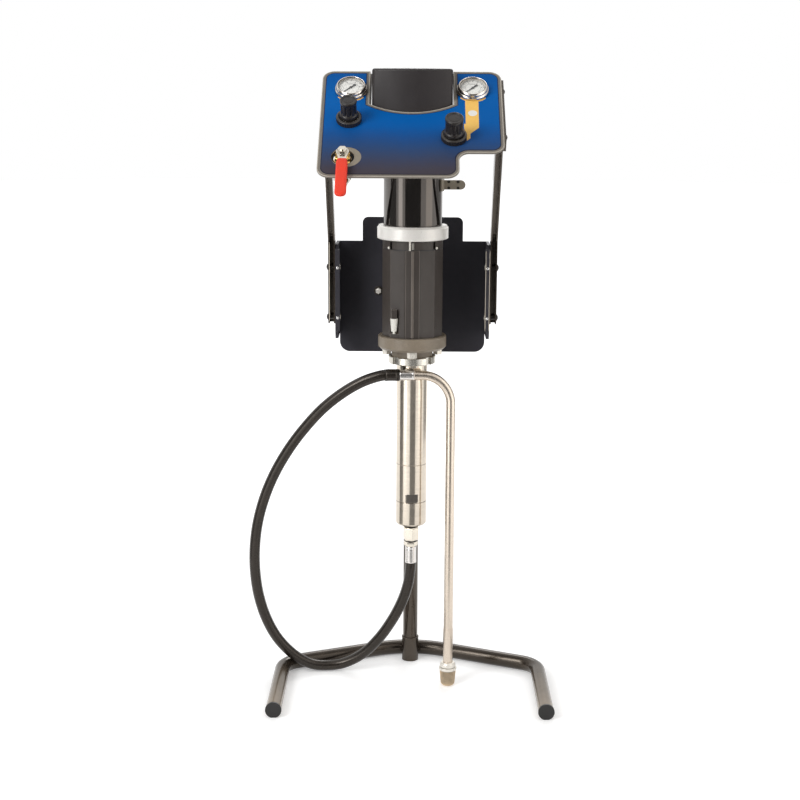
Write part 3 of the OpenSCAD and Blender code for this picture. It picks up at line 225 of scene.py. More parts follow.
MOTOR = finish("motor_paint", rgb(20, 19, 19), 0.08, vary=0.25, grain=0.04, grain_scale=300,
               rough_vary=0.03, IOR=1.88, Specular_Tint=(1.0, 0.9, 0.82, 1.0))
MOTOR_EDGE_HIGHLIGHT = finish("motor_paint_edge_highlight", rgb(52, 48, 45), 0.3, vary=0.2)
HOOD = finish("hood_plastic", rgb(53, 49, 49), 0.43, vary=0.08, grain=0.6, grain_scale=1500,
              rough_vary=0.06, specular=0.3)
BORDER = finish("panel_border", rgb(122, 115, 106), 0.4, vary=0.1, grain=0.4, grain_scale=1300,
                specular=0.35)
BORDER_EDGE_HIGHLIGHT = finish("panel_border_edge_highlight", rgb(176, 168, 155), 0.36, vary=0.12)
STEEL = finish("pump_steel", rgb(208, 198, 184), 0.16, 1.0, vary=0.05, grain=0.12, grain_scale=700,
               grain_depth=0.0001, stretch=RINGS, rough_vary=0.04)
TUBE_STEEL = finish("tube_steel", rgb(218, 205, 190), 0.28, 1.0, vary=0.04, grain=0.1, grain_scale=900)
SILVER = finish("silver_base", rgb(255, 251, 244), 0.32, 0.15, vary=0.03, grain=0.3, grain_scale=800,
                rough_vary=0.06)
SILVER_EDGE_HIGHLIGHT = finish("silver_base_edge_highlight", rgb(255, 253, 247), 0.3, 0.3, vary=0.04)
NUT = finish("plated_nut", rgb(240, 234, 224), 0.32, 0.35, vary=0.06, patch=60, grain=0.15)
ZINC = finish("zinc", rgb(204, 200, 191), 0.24, 0.95, vary=0.12, patch=60, grain=0.2)
FERRULE = finish("ferrule_plating", rgb(228, 224, 220), 0.22, 1.0, vary=0.05, patch=80, grain=0.1)
FITTING = finish("fitting_plating", rgb(230, 222, 208), 0.2, 1.0, vary=0.1, patch=60, grain=0.15)
VALVE_PLATE = finish("valve_plate", rgb(150, 140, 124), 0.42, 0.5, vary=0.12, patch=60, grain=0.3)
HARDWARE = finish("dark_hardware", rgb(62, 57, 52), 0.36, 0.5, vary=0.22, patch=60, grain=0.3)
BEZEL = finish("bezel_chrome", rgb(222, 214, 205), 0.16, 1.0, vary=0.06, grain=0.05, rough_vary=0.04)
CHROME = finish("chrome", rgb(232, 231, 228), 0.08, 1.0, vary=0.03, grain=0.03, rough_vary=0.04)
BRASS = finish("brass", rgb(228, 186, 108), 0.3, 1.0, vary=0.15, patch=80, grain=0.25)
KNOB = finish("knob_black", rgb(45, 41, 39), 0.3, vary=0.2, grain=0.3, grain_scale=1500, rough_vary=0.08,
              specular=0.4)
KNURL = finish("knurl_black", rgb(46, 41, 37), 0.3, vary=0.2, grain=0.3)
RED = finish("grip_red", rgb(240, 62, 38), 0.4, vary=0.07, patch=40, grain=0.4, grain_scale=1600,
             specular=0.3)
WHITE = finish("white_plastic", rgb(238, 235, 226), 0.38, vary=0.03, grain=0.2)
LABEL = finish("blank_label", rgb(240, 238, 232), 0.45, vary=0.03, grain=0.1)
DARK_LABEL = finish("dark_label", rgb(84, 79, 74), 0.5, 0.2, vary=0.15, patch=120, grain=0.3)
DIAL = finish("dial_white", rgb(255, 253, 246), 0.55, vary=0.02, grain=0.1)
INK = finish("dial_ink", rgb(28, 27, 27), 0.5, vary=0.15, grain=0.1)
GREY_INK = finish("dial_grey", rgb(150, 148, 144), 0.5, vary=0.1, grain=0.1)
AMBER = finish("amber_print", rgb(255, 201, 106), 0.42, vary=0.05, patch=60, grain=0.2, specular=0.2)
RIM_PRINT = finish("overlay_rim", rgb(20, 24, 46), 0.4, vary=0.15, grain=0.2, specular=0.2)
PTFE = finish("seal_ptfe", rgb(214, 200, 164), 0.5, vary=0.08)
REGULATOR = finish("regulator_paint", rgb(48, 46, 44), 0.42, vary=0.15, grain=0.5, grain_scale=700)
CAP = finish("cap_plastic", rgb(30, 28, 27), 0.42, vary=0.2, grain=0.4)
SEAL = finish("edge_seal", rgb(138, 134, 130), 0.45, vary=0.12, grain=0.3)
FOAM = finish("foam_seal", rgb(26, 25, 25), 0.8, vary=0.25, patch=120, grain=0.8, grain_scale=1800)
POLY_TUBE = finish("poly_tube", rgb(36, 35, 36), 0.32, vary=0.15, grain=0.2)
MESH = finish("strainer_mesh", rgb(218, 198, 170), 0.42, 0.85, vary=0.25, patch=90, grain=0.3)


def overlay_material():
    """Printed sheet: clear blue at the top of the slope, running to charcoal at its foot in fine dots."""
    foot_z, top_z = 0.918, 1.0757  # metres, the sheet's lower and upper edges
    t = Tree("overlay_print")
    down = t.spread(t.axis("Z"), 1.0, 0.0, foot_z, top_z)
    drift = t.math("MULTIPLY_ADD", t.noise(14, 3), 0.06, t.math("SUBTRACT", down, 0.03))
    dots = t.noise(2600, 1, 0.4)
    speck = t.math("MULTIPLY_ADD", t.spread(dots, -1, 1, 0.35, 0.65), 0.05, drift)
    base = t.ramp(speck, [(0.0, rgb(3, 82, 155)), (0.25, rgb(0, 94, 172)), (0.52, rgb(1, 92, 170)),
                          (0.64, rgb(28, 77, 138)), (0.74, rgb(44, 72, 115)), (0.84, rgb(59, 67, 92)),
                          (0.95, rgb(70, 64, 71))])
    t.link(base, "Base Color")
    t.link(t.spread(t.noise(60, 5), 0.4, 0.55), "Roughness")
    t.bump(t.noise(1800, 2), 0.15, 0.0002)
    t.set(Specular_IOR_Level=0.06)
    return t.material


def hose_material():
    """Black rubber cover with the faint criss-cross of its cloth wrap."""
    t = Tree("hose_rubber")
    weave = None
    for turn in (0.7, -0.7):
        lay = t.add("ShaderNodeMapping", {"Vector": t.place}, {"Rotation": (turn, 0.5 * turn, turn)})
        wave = t.add("ShaderNodeTexWave", {"Vector": lay.outputs[0]}, {
            "Scale": 260.0, "Distortion": 1.5, "Detail": 2.0}).outputs["Fac"]
        weave = wave if weave is None else t.math("MAXIMUM", weave, wave)
    cloud = t.noise(30, 6, 0.65)
    base = t.ramp(cloud, [(0.3, rgb(22, 19, 16)), (0.55, rgb(31, 27, 24)), (0.8, rgb(50, 44, 38))])
    t.link(t.mix(t.math("MULTIPLY", weave, 0.25), base, rgb(20, 18, 18)), "Base Color")
    t.link(t.spread(t.noise(90, 5), 0.19, 0.31), "Roughness")
    t.bump(weave, 0.08, 0.0003)
    t.set(Specular_Tint=(1.0, 0.9, 0.8, 1.0))
    return t.material


def glass_material():
    """Clear window, mostly see-through, with a faint smear in its gloss."""
    t = Tree("gauge_glass")
    tint = t.ramp(t.noise(50, 3), [(0.3, (0.9, 0.94, 0.96, 1)), (0.7, (0.97, 0.98, 0.98, 1))])
    t.link(tint, "Base Color")
    t.link(t.spread(t.noise(40, 6, 0.7), 0.02, 0.1), "Roughness")
    t.bump(t.noise(30, 2), 0.02)
    t.set(Alpha=0.05)
    return t.material


def base_material():
    """The stand's black paint, under a painted brown reflection of the floor that grows towards the feet.
    """
    reflection_full_y, reflection_end_y = -0.1, 0.13  # metres, where the painted floor reflection is full and where it ends
    t = Tree("stand_paint_base")
    forward = t.spread(t.axis("Y"), 1.0, 0.0, reflection_full_y, reflection_end_y)
    cloud = t.noise(22, 6, 0.6)
    paint = t.ramp(cloud, [(0.3, rgb(28, 24, 21)), (0.55, rgb(36, 31, 27)), (0.8, rgb(46, 40, 34))])
    # film is the painted reflection of the floor, laid over the paint towards the feet.
    film = t.math("MULTIPLY", forward, t.spread(cloud, 0.7, 1.0))
    t.link(t.mix(film, paint, rgb(142, 128, 110)), "Base Color")
    t.link(t.spread(t.noise(50, 5, 0.65), 0.14, 0.22), "Roughness")
    t.bump(t.noise(300, 3), 0.06, 0.0003)
    t.set(Specular_IOR_Level=0.6, Specular_Tint=WARM)
    return t.material


def bolt_material():
    """Bright plated inside the rails, blackened outside them."""
    bright_x, black_x = 0.1325, 0.1345  # metres from the middle, where one finish turns into the other
    t = Tree("bolt_finish")
    outside = t.spread(t.math("ABSOLUTE", t.axis("X")), 0.0, 1.0, bright_x, black_x)
    cloud = t.ramp(t.noise(80, 5), [(0.3, 0.75), (0.7, 1.0)])
    t.link(t.mix(1.0, cloud, t.mix(outside, rgb(226, 220, 208), rgb(56, 51, 47)), "MULTIPLY"), "Base Color")
    t.link(t.spread(outside, 0.25, 0.4, 0, 1), "Roughness")
    t.bump(t.noise(900, 3), 0.3, 0.0003)
    t.set(Metallic=0.5)
    return t.material


OVERLAY = overlay_material()
HOSE = hose_material()
GLASS = glass_material()
BOLTS = bolt_material()
BASE = base_material()

# ------------ mesh tools


def polar(r, degrees):
    a = math.radians(degrees)
    return (r * math.cos(a), r * math.sin(a))


def arc(centre, r, start, end, steps):
    """Points of an arc, in degrees, both ends included."""
    points = [polar(r, start + (end - start) * i / steps) for i in range(steps + 1)]
    return [(centre[0] + x, centre[1] + y) for x, y in points]


def circle(centre, r, steps=48):
    return arc(centre, r, 0, 360 - 360 / steps, steps - 1)


def hexagon(r, turn):
    """A hexagon round the origin with a corner at turn degrees."""
    return arc((0, 0), r, turn, turn + 300, 5)


def lifted(outlines):
    """Rings from pairs of a plan outline and its height."""
    return [[(x, y, z) for x, y in outline] for outline, z in outlines]


def scaled(outline, levels):
    """Rings from one plan outline, at each pair of a scale and a height."""
    return [[(x * k, y * k, z) for x, y in outline] for k, z in levels]


class Shape:
    """Collects faces in millimetres and turns them into one piece."""

    def __init__(self):
        self.verts = []
        self.faces = []
        self.slots = []

    def add(self, verts, faces, mat=0, place=None):
        start = len(self.verts)
        self.verts += [place @ Vector(v) for v in verts] if place else [Vector(v) for v in verts]
        self.faces += [tuple(start + i for i in f) for f in faces]
        self.slots += [mat] * len(faces)
        return self

    def rings(self, rings, mat=0, place=None, closed=False, caps=True):
        """Skin over rings of equal count; closed joins the last ring to the first."""
        n = len(rings[0])
        verts = [p for ring in rings for p in ring]
        last = len(rings) if closed else len(rings) - 1
        faces = []
        for i in range(last):
            a, b = i * n, (i + 1) % len(rings) * n
            faces += [(a + k, a + (k + 1) % n, b + (k + 1) % n, b + k) for k in range(n)]
        if caps and not closed:
            faces.append(tuple(reversed(range(n))))
            faces.append(tuple(range(len(verts) - n, len(verts))))
        return self.add(verts, faces, mat, place)

    def lathe(self, profile, steps, mat=0, place=None, radial=None, closed=False):
        """Turns a profile of (r, z) about z; radial(angle, r, z) may change each radius."""
        rings = []
        for r, z in profile:
            ring = []
            for k in range(steps):
                a = TAU * k / steps
                q = radial(a, r, z) if radial else r
                ring.append((q * math.cos(a), q * math.sin(a), z))
            rings.append(ring)
        return self.rings(rings, mat, place, closed)

    def prism(self, outline, low, high, mat=0, place=None):
        return self.rings(lifted([(outline, low), (outline, high)]), mat, place)

    def strip(self, rows):
        """An open skin between rows of points."""
        n = len(rows[0])
        faces = [(r * n + k, r * n + k + 1, (r + 1) * n + k + 1, (r + 1) * n + k)
                 for r in range(len(rows) - 1) for k in range(n - 1)]
        return self.add([p for row in rows for p in row], faces)

    def sweep(self, points, radius, sides, closed=False):
        """A tube along points; radius is a number or a function of the index."""
        points = [Vector(p) for p in points]
        n = len(points)
        rings = []
        side = None
        for i, p in enumerate(points):
            ahead = points[(i + 1) % n] if closed else points[min(i + 1, n - 1)]
            behind = points[i - 1] if closed else points[max(i - 1, 0)]
            t = (ahead - behind).normalized()
            if side is None:
                side = t.orthogonal().normalized()
            side = (side - t * side.dot(t)).normalized()
            up = t.cross(side)
            r = radius(i) if callable(radius) else radius
            rings.append([p + r * (math.cos(TAU * k / sides) * side + math.sin(TAU * k / sides) * up)
                          for k in range(sides)])
        return self.rings(rings, closed=closed)

    def piece(self, name, slot, materials, place=PUMP, body="stand", replaces=(), bevel=0.0, smooth=True):
        mesh = bpy.data.meshes.new(name)
        mesh.from_pydata([MM @ place @ v for v in self.verts], [], self.faces)
        for material in materials:
            mesh.materials.append(material)
        mesh.polygons.foreach_set("material_index", self.slots)
        mesh.polygons.foreach_set("use_smooth", [smooth] * len(self.faces))
        mesh.update()
        obj = put(name, mesh)
        if bevel:
            soften(obj, bevel)
        elif smooth:
            weigh(obj)
        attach(obj, body)
        if replaces:
            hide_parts(*replaces)


def weigh(obj):
    mod = obj.modifiers.new("normals", "WEIGHTED_NORMAL")
    mod.keep_sharp = True
    mod.weight = 80


def soften(obj, width, edge=-1):
    """Rounds sharp edges by width in millimetres; edge is the material slot of the rounding."""
    mod = obj.modifiers.new("round", "BEVEL")
    mod.width = width * 0.001
    mod.segments = 2
    mod.limit_method = "ANGLE"
    mod.angle_limit = math.radians(28)
    mod.use_clamp_overlap = True
    mod.material = edge
    weigh(obj)


def dress(node, width, material, edge=None):
    """Gives a CAD node its finish, soft edges and, if given, another, lighter finish on those edges as
    painted edge highlight.
    """
    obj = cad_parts[node]
    obj.data.materials.clear()
    obj.data.materials.append(material)
    obj.data.materials.append(edge or material)
    weld = obj.modifiers.new("weld", "WELD")
    weld.merge_threshold = 0.00001
    if width:
        soften(obj, width, 1)
    else:
        weigh(obj)


# ------------ suction hose

# The route repeats part.scad's: from the ferrule under the pump to the floor, round and up to the hook.
HOSE_ROUTE = [
    (0, 0, 217), (-1, 0, 200), (-5, 2, 174), (-15, 5, 142), (-32, 9, 106), (-56, 15, 68), (-86, 21, 35),
    (-120, 25, 15), (-152, 25, 10), (-182, 20, 15), (-212, 15, 34), (-240, 12, 65), (-260, 8, 104),
    (-273, 5, 148), (-279, 2, 194), (-279, -1, 240), (-273, -4, 288), (-260, -8, 336), (-241, -12, 382),
    (-216, -16, 426), (-187, -20, 466), (-154, -25, 503), (-119, -30, 532), (-86, -34, 552),
    (-56, -36.5, 563), (-38, -36.5, 565), (-21, -36.5, 565)]
HOSE_D = 19.0


def spline_through(points, steps):
    """Catmull-Rom line through points, with steps parts between two of them."""
    pts = [Vector(p) for p in points]
    line = []
    for i in range(len(pts) - 1):
        a, b, c, d = pts[max(i - 1, 0)], pts[i], pts[i + 1], pts[min(i + 2, len(pts) - 1)]
        for k in range(steps):
            t = k / steps
            line.append(0.5 * (2 * b + (c - a) * t + (2 * a - 5 * b + 4 * c - d) * t * t
                               + (3 * b - a - 3 * c + d) * t ** 3))
    return line + [pts[-1]]


def add_hose():
    line = [MM @ PUMP @ p for p in spline_through(HOSE_ROUTE, 8)]
    curve = bpy.data.curves.new("hose", "CURVE")
    curve.dimensions = "3D"
    curve.bevel_depth = HOSE_D / 2000
    curve.bevel_resolution = 6
    curve.use_fill_caps = True
    run = curve.splines.new("POLY")
    run.points.add(len(line) - 1)
    for point, p in zip(run.points, line):
        point.co = (*p, 1)
    curve.materials.append(HOSE)
    hose = put("hose", curve)
    run.use_smooth = True
    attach(hose, "stand")
    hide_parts("suction_hose")


add_hose()

# ------------ CAD nodes that stay

for cad_nodes, width, *finishes in (
    ("base_tube_left base_tube_right", 0, BASE),
    ("stand_post left_arm right_arm", 0.5, STAND, STAND_EDGE_HIGHLIGHT),
    ("tube_plugs", 0.6, CAP),
    ("plate_bolts", 0.3, HARDWARE),
    ("bracket_plate saddle_block", 0.5, PLATE, PLATE_EDGE_HIGHLIGHT),
    ("arm_bolts", 0.3, BOLTS),
    ("console_frame", 0.3, PLATE, STAND_EDGE_HIGHLIGHT),
    ("panel_plate", 0.6, BORDER, BORDER_EDGE_HIGHLIGHT),
    ("panel_overlay", 0.15, OVERLAY),
    ("gauge_lenses", 0.2, GLASS),
    ("left_regulator right_regulator", 0.8, REGULATOR),
    ("ball_valve_body", 0.4, BRASS),
    ("valve_inlet", 0.4, ZINC),
    ("valve_stem", 0.4, FITTING),
    ("air_lines", 0.3, POLY_TUBE),
    ("motor_base", 0.9, SILVER, SILVER_EDGE_HIGHLIGHT),
    ("motor_cylinder", 0.4, MOTOR),
    ("front_shroud", 0.4, MOTOR, MOTOR_EDGE_HIGHLIGHT),
    ("motor_top_cap air_valve_body outlet_housing", 0.8, CAST, CAST_HIGHLIGHT),
    ("valve_spool pump_piston", 0.2, STEEL),
    ("muffler", 0.8, CAP),
    # The whole lug takes the cast paint's lighter copy: painted light that offsets the panel's shadow on
    # it.
    ("accessory_lug", 0.4, CAST_HIGHLIGHT),
    ("motor_piston", 0.2, SILVER),
    ("piston_rod displacement_rod", 0.2, CHROME),
    ("motor_collar", 0.3, SHIELD, SHIELD_EDGE_HIGHLIGHT),
    ("tie_rods", 0.3, NUT),
    ("shield_left shield_right", 0.4, SHIELD, SHIELD_EDGE_HIGHLIGHT),
    ("seal_fluid_cup", 0.4, WHITE),
    ("coupling_nut", 0.4, STEEL),
    ("ring_nut", 0.5, ZINC),
    ("rod_seals", 0.2, PTFE),
    ("upper_cylinder middle_cylinder", 0.3, STEEL),
    ("intake_housing", 0.5, STEEL),
    ("piston_ball intake_ball", 0, CHROME),
    ("suction_tube", 0, TUBE_STEEL),
    ("strainer_collar", 0.4, NUT),
):
    for cad_node in cad_nodes.split():
        dress(cad_node, width, *finishes)

# ------------ console

HOOD_LOW, HOOD_TOP, HOOD_HALF, HOOD_X = 990.0, 1081.0, 65.5, -2.0


def hood_plan(i):
    """Plan of the hood drawn in by i: round at the back, straight sides, bowed front."""
    bow = math.degrees(math.acos((HOOD_HALF - i) / (144 - i)))
    return arc((0, 0), HOOD_HALF - i, 0, 180, 32) + arc((0, -2), 144 - i, 180 + bow, 360 - bow, 28)


def add_hood():
    """Moulded hood: rounded crown, soft lower edge and a shallow step above it."""
    fillet = 4.0
    sections = [(3.0, HOOD_LOW + 1.2), (2.4, HOOD_LOW), (0.8, HOOD_LOW), (0.2, HOOD_LOW + 0.7),
                (0.0, HOOD_LOW + 2.0), (0.0, HOOD_LOW + 5.4), (0.7, HOOD_LOW + 6.2), (0.7, HOOD_LOW + 20),
                (0.8, HOOD_LOW + 45), (1.0, HOOD_TOP - fillet - 8)]
    for k in range(9):
        a = math.radians(90 * k / 8)
        sections.append((1.0 + fillet * (1 - math.cos(a)), HOOD_TOP - 0.8 - fillet * (1 - math.sin(a))))
    sections += [(20, HOOD_TOP - 0.5), (34, HOOD_TOP - 0.2), (50, HOOD_TOP), (60, HOOD_TOP)]
    inside = [(3.0, HOOD_LOW + 1.2), (3.5, HOOD_LOW + 20), (3.8, HOOD_TOP - 13), (9, HOOD_TOP - 6),
              (40, HOOD_TOP - 3.2)]
    outer = lifted([(hood_plan(i), z) for i, z in sections])
    inner = lifted([(hood_plan(i), z) for i, z in inside])
    shape = Shape()
    shape.rings(outer, caps=False)
    shape.add(outer[-1], [tuple(range(len(outer[-1])))])
    shape.rings([list(reversed(ring)) for ring in inner], caps=False)
    shape.add(inner[-1], [tuple(reversed(range(len(inner[-1]))))])
    shape.piece("hood", "hood_plastic", [HOOD], at(HOOD_X, 0, 0, PUMP), replaces=["motor_hood"])


PANEL_HALF, PANEL_LEN, CORNER_R = 145.0, 262.0, 20.0
NOTCH_LEN, NOTCH_X, NOTCH_R = 204.0, 74.0, 16.0  # the step at the lower right corner
CUT_HALF, CUT_C, CUT_R = 67.5, 14.8, 120.3  # the hood's cut-out


def panel_outline(i):
    """The panel's outline drawn in by i, and grown by i round the hood's cut-out."""
    in_r, cut, cut_r = CORNER_R - i, CUT_HALF + i, CUT_R + i
    opening = math.degrees(math.acos(cut / cut_r))
    return (arc((-PANEL_HALF + CORNER_R, -PANEL_LEN + CORNER_R), in_r, 180, 270, 12)
            + arc((NOTCH_X - CORNER_R, -PANEL_LEN + CORNER_R), in_r, 270, 360, 12)
            + arc((NOTCH_X + NOTCH_R, -NOTCH_LEN - NOTCH_R), NOTCH_R + i, 180, 90, 12)
            + arc((PANEL_HALF - CORNER_R, -NOTCH_LEN + CORNER_R), in_r, 270, 360, 12)
            + arc((PANEL_HALF - CORNER_R, -CORNER_R), in_r, 0, 90, 12)
            + [(cut, -i)] + arc((0, CUT_C), cut_r, -opening, -180 + opening, 28) + [(-cut, -i)]
            + arc((-PANEL_HALF + CORNER_R, -CORNER_R), in_r, 90, 180, 12))


def add_panel_trim():
    """Dark printed line just inside the overlay's edge, and the rolled rim of the panel in a lighter copy
    of the border paint as painted highlight.
    """
    edges = ((5.6, 0.6), (5.6, 0.72), (6.7, 0.72), (6.7, 0.6))
    printed = lifted([(panel_outline(i), z) for i, z in edges])
    Shape().rings(printed, closed=True).piece(
        "overlay_rim", "overlay_blue", [RIM_PRINT], PANEL, smooth=False)
    steps = [(0.9 - 0.9 * math.cos(TAU * k / 8), -0.1 + 0.55 * math.sin(TAU * k / 8)) for k in range(8)]
    rolled = lifted([(panel_outline(0.1 + i), z) for i, z in steps])
    Shape().rings(rolled, closed=True).piece("panel_rim", "panel_border", [BORDER_EDGE_HIGHLIGHT], PANEL)


def add_hood_seals():
    """Foam strips under the panel's edge that close the gap beside the hood."""
    shape = Shape()
    for low, high in ((-72.0, -64.8), (66.8, 72.0)):
        outline = [(low, -83), (high, -81), (high, -2), (low, -1)]
        shape.prism(outline, -4.6, -3.1)
    shape.piece("hood_seals", "hood_plastic", [SEAL], PANEL, bevel=0.3)


def valve_ring(outer_r, inner_r, low, high):
    """A flat ring in the valve's hole of the panel, open round the valve's stem."""
    outer, inner = circle(VALVE_HOLE, outer_r), circle(VALVE, inner_r)
    return Shape().rings(lifted([(outer, low), (outer, high), (inner, high), (inner, low)]), closed=True)


def add_prints():
    """Amber guides from the gauges to their knobs, a bare label on one, and the plate by the valve."""
    stripe = [(78.0, -62.0), (78.0, -70.5), (85.2, -76.5), (85.3, -133.7), (82.5, -135.0), (82.6, -147.3),
              (86.3, -158.8), (86.2, -176.0), (91.8, -169.8), (92.1, -158.8), (105.9, -143.9),
              (106.6, -77.9), (112.4, -76.0), (118.5, -70.5), (118.5, -62.0)]
    tab = [(-118.5, -60.0), (-118.5, -69.5), (-112.5, -75.5), (-108.5, -77.0), (-108.5, -112.0),
           (-88.5, -112.0), (-88.5, -77.0), (-83.0, -75.5), (-77.5, -69.5), (-77.5, -60.0)]
    for name, outline, low, print_colour in (
        ("amber_right", list(reversed(stripe)), 0.6, AMBER),
        ("amber_left", list(reversed(tab)), 0.6, AMBER),
        ("label_blank", circle((96.6, -108), 7.2), 0.68, LABEL),
    ):
        Shape().prism(outline, low, low + 0.08).piece(
            name, "overlay_blue", [print_colour], PANEL, smooth=False)
    valve_ring(23.3, 18.3, 0.02, 0.35).piece(
        "valve_plate", "zinc", [VALVE_PLATE], PANEL, smooth=False)


def add_valve_details():
    """Packing nut, the seal behind the panel, and the stem's cap and washer on the lever."""
    shape = Shape().rings(scaled(hexagon(13.2, 30), ((1.0, -6), (1.0, 2.4), (0.93, 3.4))))
    shape.lathe([(8.1, 3.2), (11.0, 3.2), (10.6, 4.6), (9.4, 6.6), (8.1, 6.9)], 48, closed=True)
    shape.piece("packing_nut", "brass", [BRASS], at(*VALVE), bevel=0.3)
    valve_ring(24.2, 14.4, -4.4, -3.1).piece(
        "valve_seal", "hood_plastic", [FOAM], PANEL, smooth=False)
    cap = Shape().lathe([(0.4, 14.6), (1.6, 14.6), (2.4, 14.1), (2.6, 13.2), (3.9, 13.0), (4.1, 12.4),
                         (0.4, 12.2)], 36)
    cap.piece("stem_cap", "brass", [BRASS], at(*VALVE), "lever")
    washer = Shape().lathe([(4.3, 11.55), (8.4, 11.55), (8.6, 11.8), (8.4, 12.1), (4.3, 12.1)], 48,
                           closed=True)
    washer.piece("lever_washer", "zinc", [ZINC], at(*VALVE), "lever")


def add_grip():
    """Dipped vinyl grip: soft section, a shallow raised field and a rounded end."""
    start, long = 18.5, 102.0
    half, half_thick = 9.0, 3.75
    steps, sides = 34, 28
    rings = []
    for k in range(steps + 1):
        along = k / steps
        y = -start - along * (long - start)
        swell = 1.0 - 0.16 * math.exp(-(along / 0.05) ** 2)
        end = (long + y) / half
        if end < 1:
            swell *= math.sqrt(max(0.0, 1 - (1 - end) ** 2)) if end > 0 else 0.0
        wide = half * max(swell, 0.03)
        full = min(1.0, 0.6 + 0.6 * swell) if swell < 0.9 else 1.0
        thick = half_thick * full * (1 - 0.1 * math.exp(-(along / 0.04) ** 2))
        if end < 0.5:
            thick *= 0.55 + 0.9 * end
        ring = []
        for j in range(sides):
            a = TAU * j / sides
            c, d = math.cos(a), math.sin(a)
            x = wide * math.copysign(abs(c) ** 0.55, c)
            z = thick * math.copysign(abs(d) ** 0.62, d)
            ring.append((x, y, z))
        rings.append(ring)
    shape = Shape().rings(rings)
    field = arc((0, -long + half + 4), 5.4, 180, 360, 12)
    field += [(5.4, -38), (4.6, -36), (-4.6, -36), (-5.4, -38)]
    shape.prism(list(reversed(field)), 3.3, 3.72)
    shape.piece("grip", "grip_red", [RED], at(*VALVE, 10.25), "lever", ["lever_grip"], bevel=0.25)


def knob_profile(r, h):
    """Section of a knob: flared skirt, straight side, rolled rim and dished top."""
    skirt = 6.0
    return [(0.5, 0), (r + 1.2, 0), (r + 1.8, 0.6), (r + 1.8, skirt - 1.8), (r + 1.2, skirt - 0.6),
            (r + 0.2, skirt), (r, skirt + 0.6), (r, skirt + 1.6), (r, skirt + 3), (r, h * 0.5),
            (r, h - 8.6), (r, h - 7.4), (r, h - 6.4), (r + 0.35, h - 5.4), (r + 0.5, h - 4.2),
            (r + 0.5, h - 1.6), (r + 0.1, h - 0.6), (r - 0.8, h), (r - 2.2, h), (r - 2.9, h - 0.8),
            (r - 3.1, h - 1.6), (r - 5.5, h - 1.7), (r - 5.8, h - 1.2), (r - 8.0, h - 1.1),
            (0.5, h - 1.0)]


def add_knobs():
    """Fluted regulator knobs with a rolled rim and a dished top."""
    height, flutes = 31.0, 10
    for side, x, y, d in KNOBS:
        r = d / 2 - 0.5

        def fluted(a, q, z, r=r):
            if not 6.6 < z < height - 6.5 or q < r - 1:
                return q
            ease = min(1.0, (z - 6.6) / 2.0, (height - 6.5 - z) / 2.0)
            wave = max(0.0, math.cos(flutes * a)) ** 1.5
            return q - 1.7 * wave * ease

        Shape().lathe(knob_profile(r, height), 180, radial=fluted).piece(
            side + "_knob_turned", "knob_black", [KNOB], at(x, y, 10.1), side + "_knob_body",
            [side + "_knob"])


def add_knob_rings():
    """Panel rings with a knurled edge."""
    teeth = 44

    def knurl(a, q, z):
        if q < 19 or not 0.8 < z < 7.2:
            return q
        return q - 0.75 * (0.5 - 0.5 * math.cos(teeth * a))

    shape = Shape()
    for _, x, y, _ in KNOBS:
        profile = [(15.3, 0), (19.6, 0), (20.2, 0.7), (20.25, 1.2), (20.25, 6.8), (20.1, 7.5), (19.2, 8.2),
                   (18.0, 8.3), (17.6, 9.0), (15.3, 9.0)]
        shape.lathe(profile, 264, place=Matrix.Translation((x, y, 0.6)), radial=knurl, closed=True)
    shape.piece("knurled_rings", "knob_black", [KNURL], PANEL, replaces=["knob_rings"])


def numeral(text, size, place):
    """A number as a flat mesh, in millimetres."""
    curve = bpy.data.curves.new("numeral", "FONT")
    curve.body = text
    curve.size = size
    curve.align_x = "CENTER"
    curve.align_y = "CENTER"
    holder = put("numeral", curve)
    bpy.context.view_layer.update()
    mesh = bpy.data.meshes.new_from_object(holder.evaluated_get(bpy.context.evaluated_depsgraph_get()))
    verts = [place @ v.co for v in mesh.vertices]
    faces = [tuple(p.vertices) for p in mesh.polygons]
    bpy.data.objects.remove(holder)
    return verts, faces


def add_gauge_bodies():
    """Gauge cases with a rounded, stepped bezel and a dark ring under its lip."""
    shape = Shape()
    for gauge_x in GAUGE_X.values():
        place = Matrix.Translation((gauge_x, GAUGE_Y, 0))
        shape.lathe([(0.5, -22), (23.4, -22), (24.0, -21.4), (24.0, 0.62), (26.2, 0.62), (26.5, 1.4),
                     (26.4, 3.2), (25.9, 5.0), (25.1, 6.4), (24.8, 6.5), (24.5, 6.2), (24.3, 7.0),
                     (24.0, 8.8), (23.4, 10.4), (22.6, 11.5), (21.8, 11.9), (21.2, 11.6), (21.0, 10.75),
                     (22.5, 10.7), (22.6, 5.0), (20.5, 5.0), (20.5, -20), (3.2, -20), (3.2, -2),
                     (0.5, -2)], 128, place=place)
        shape.lathe([(20.5, 10.7), (21.5, 10.7), (21.5, 11.05), (20.9, 11.1), (20.5, 10.95)], 96, 1, place,
                    closed=True)
        block = [(-5.4, -6), (5.4, -6), (6, -5.4), (6, 5.4), (5.4, 6), (-5.4, 6), (-6, 5.4), (-6, -5.4)]
        shape.prism(block, -40, -21.8, 2, place)
    shape.piece("gauge_bodies", "chrome", [BEZEL, HARDWARE, BRASS], PANEL,
                replaces=["gauge_cases"])


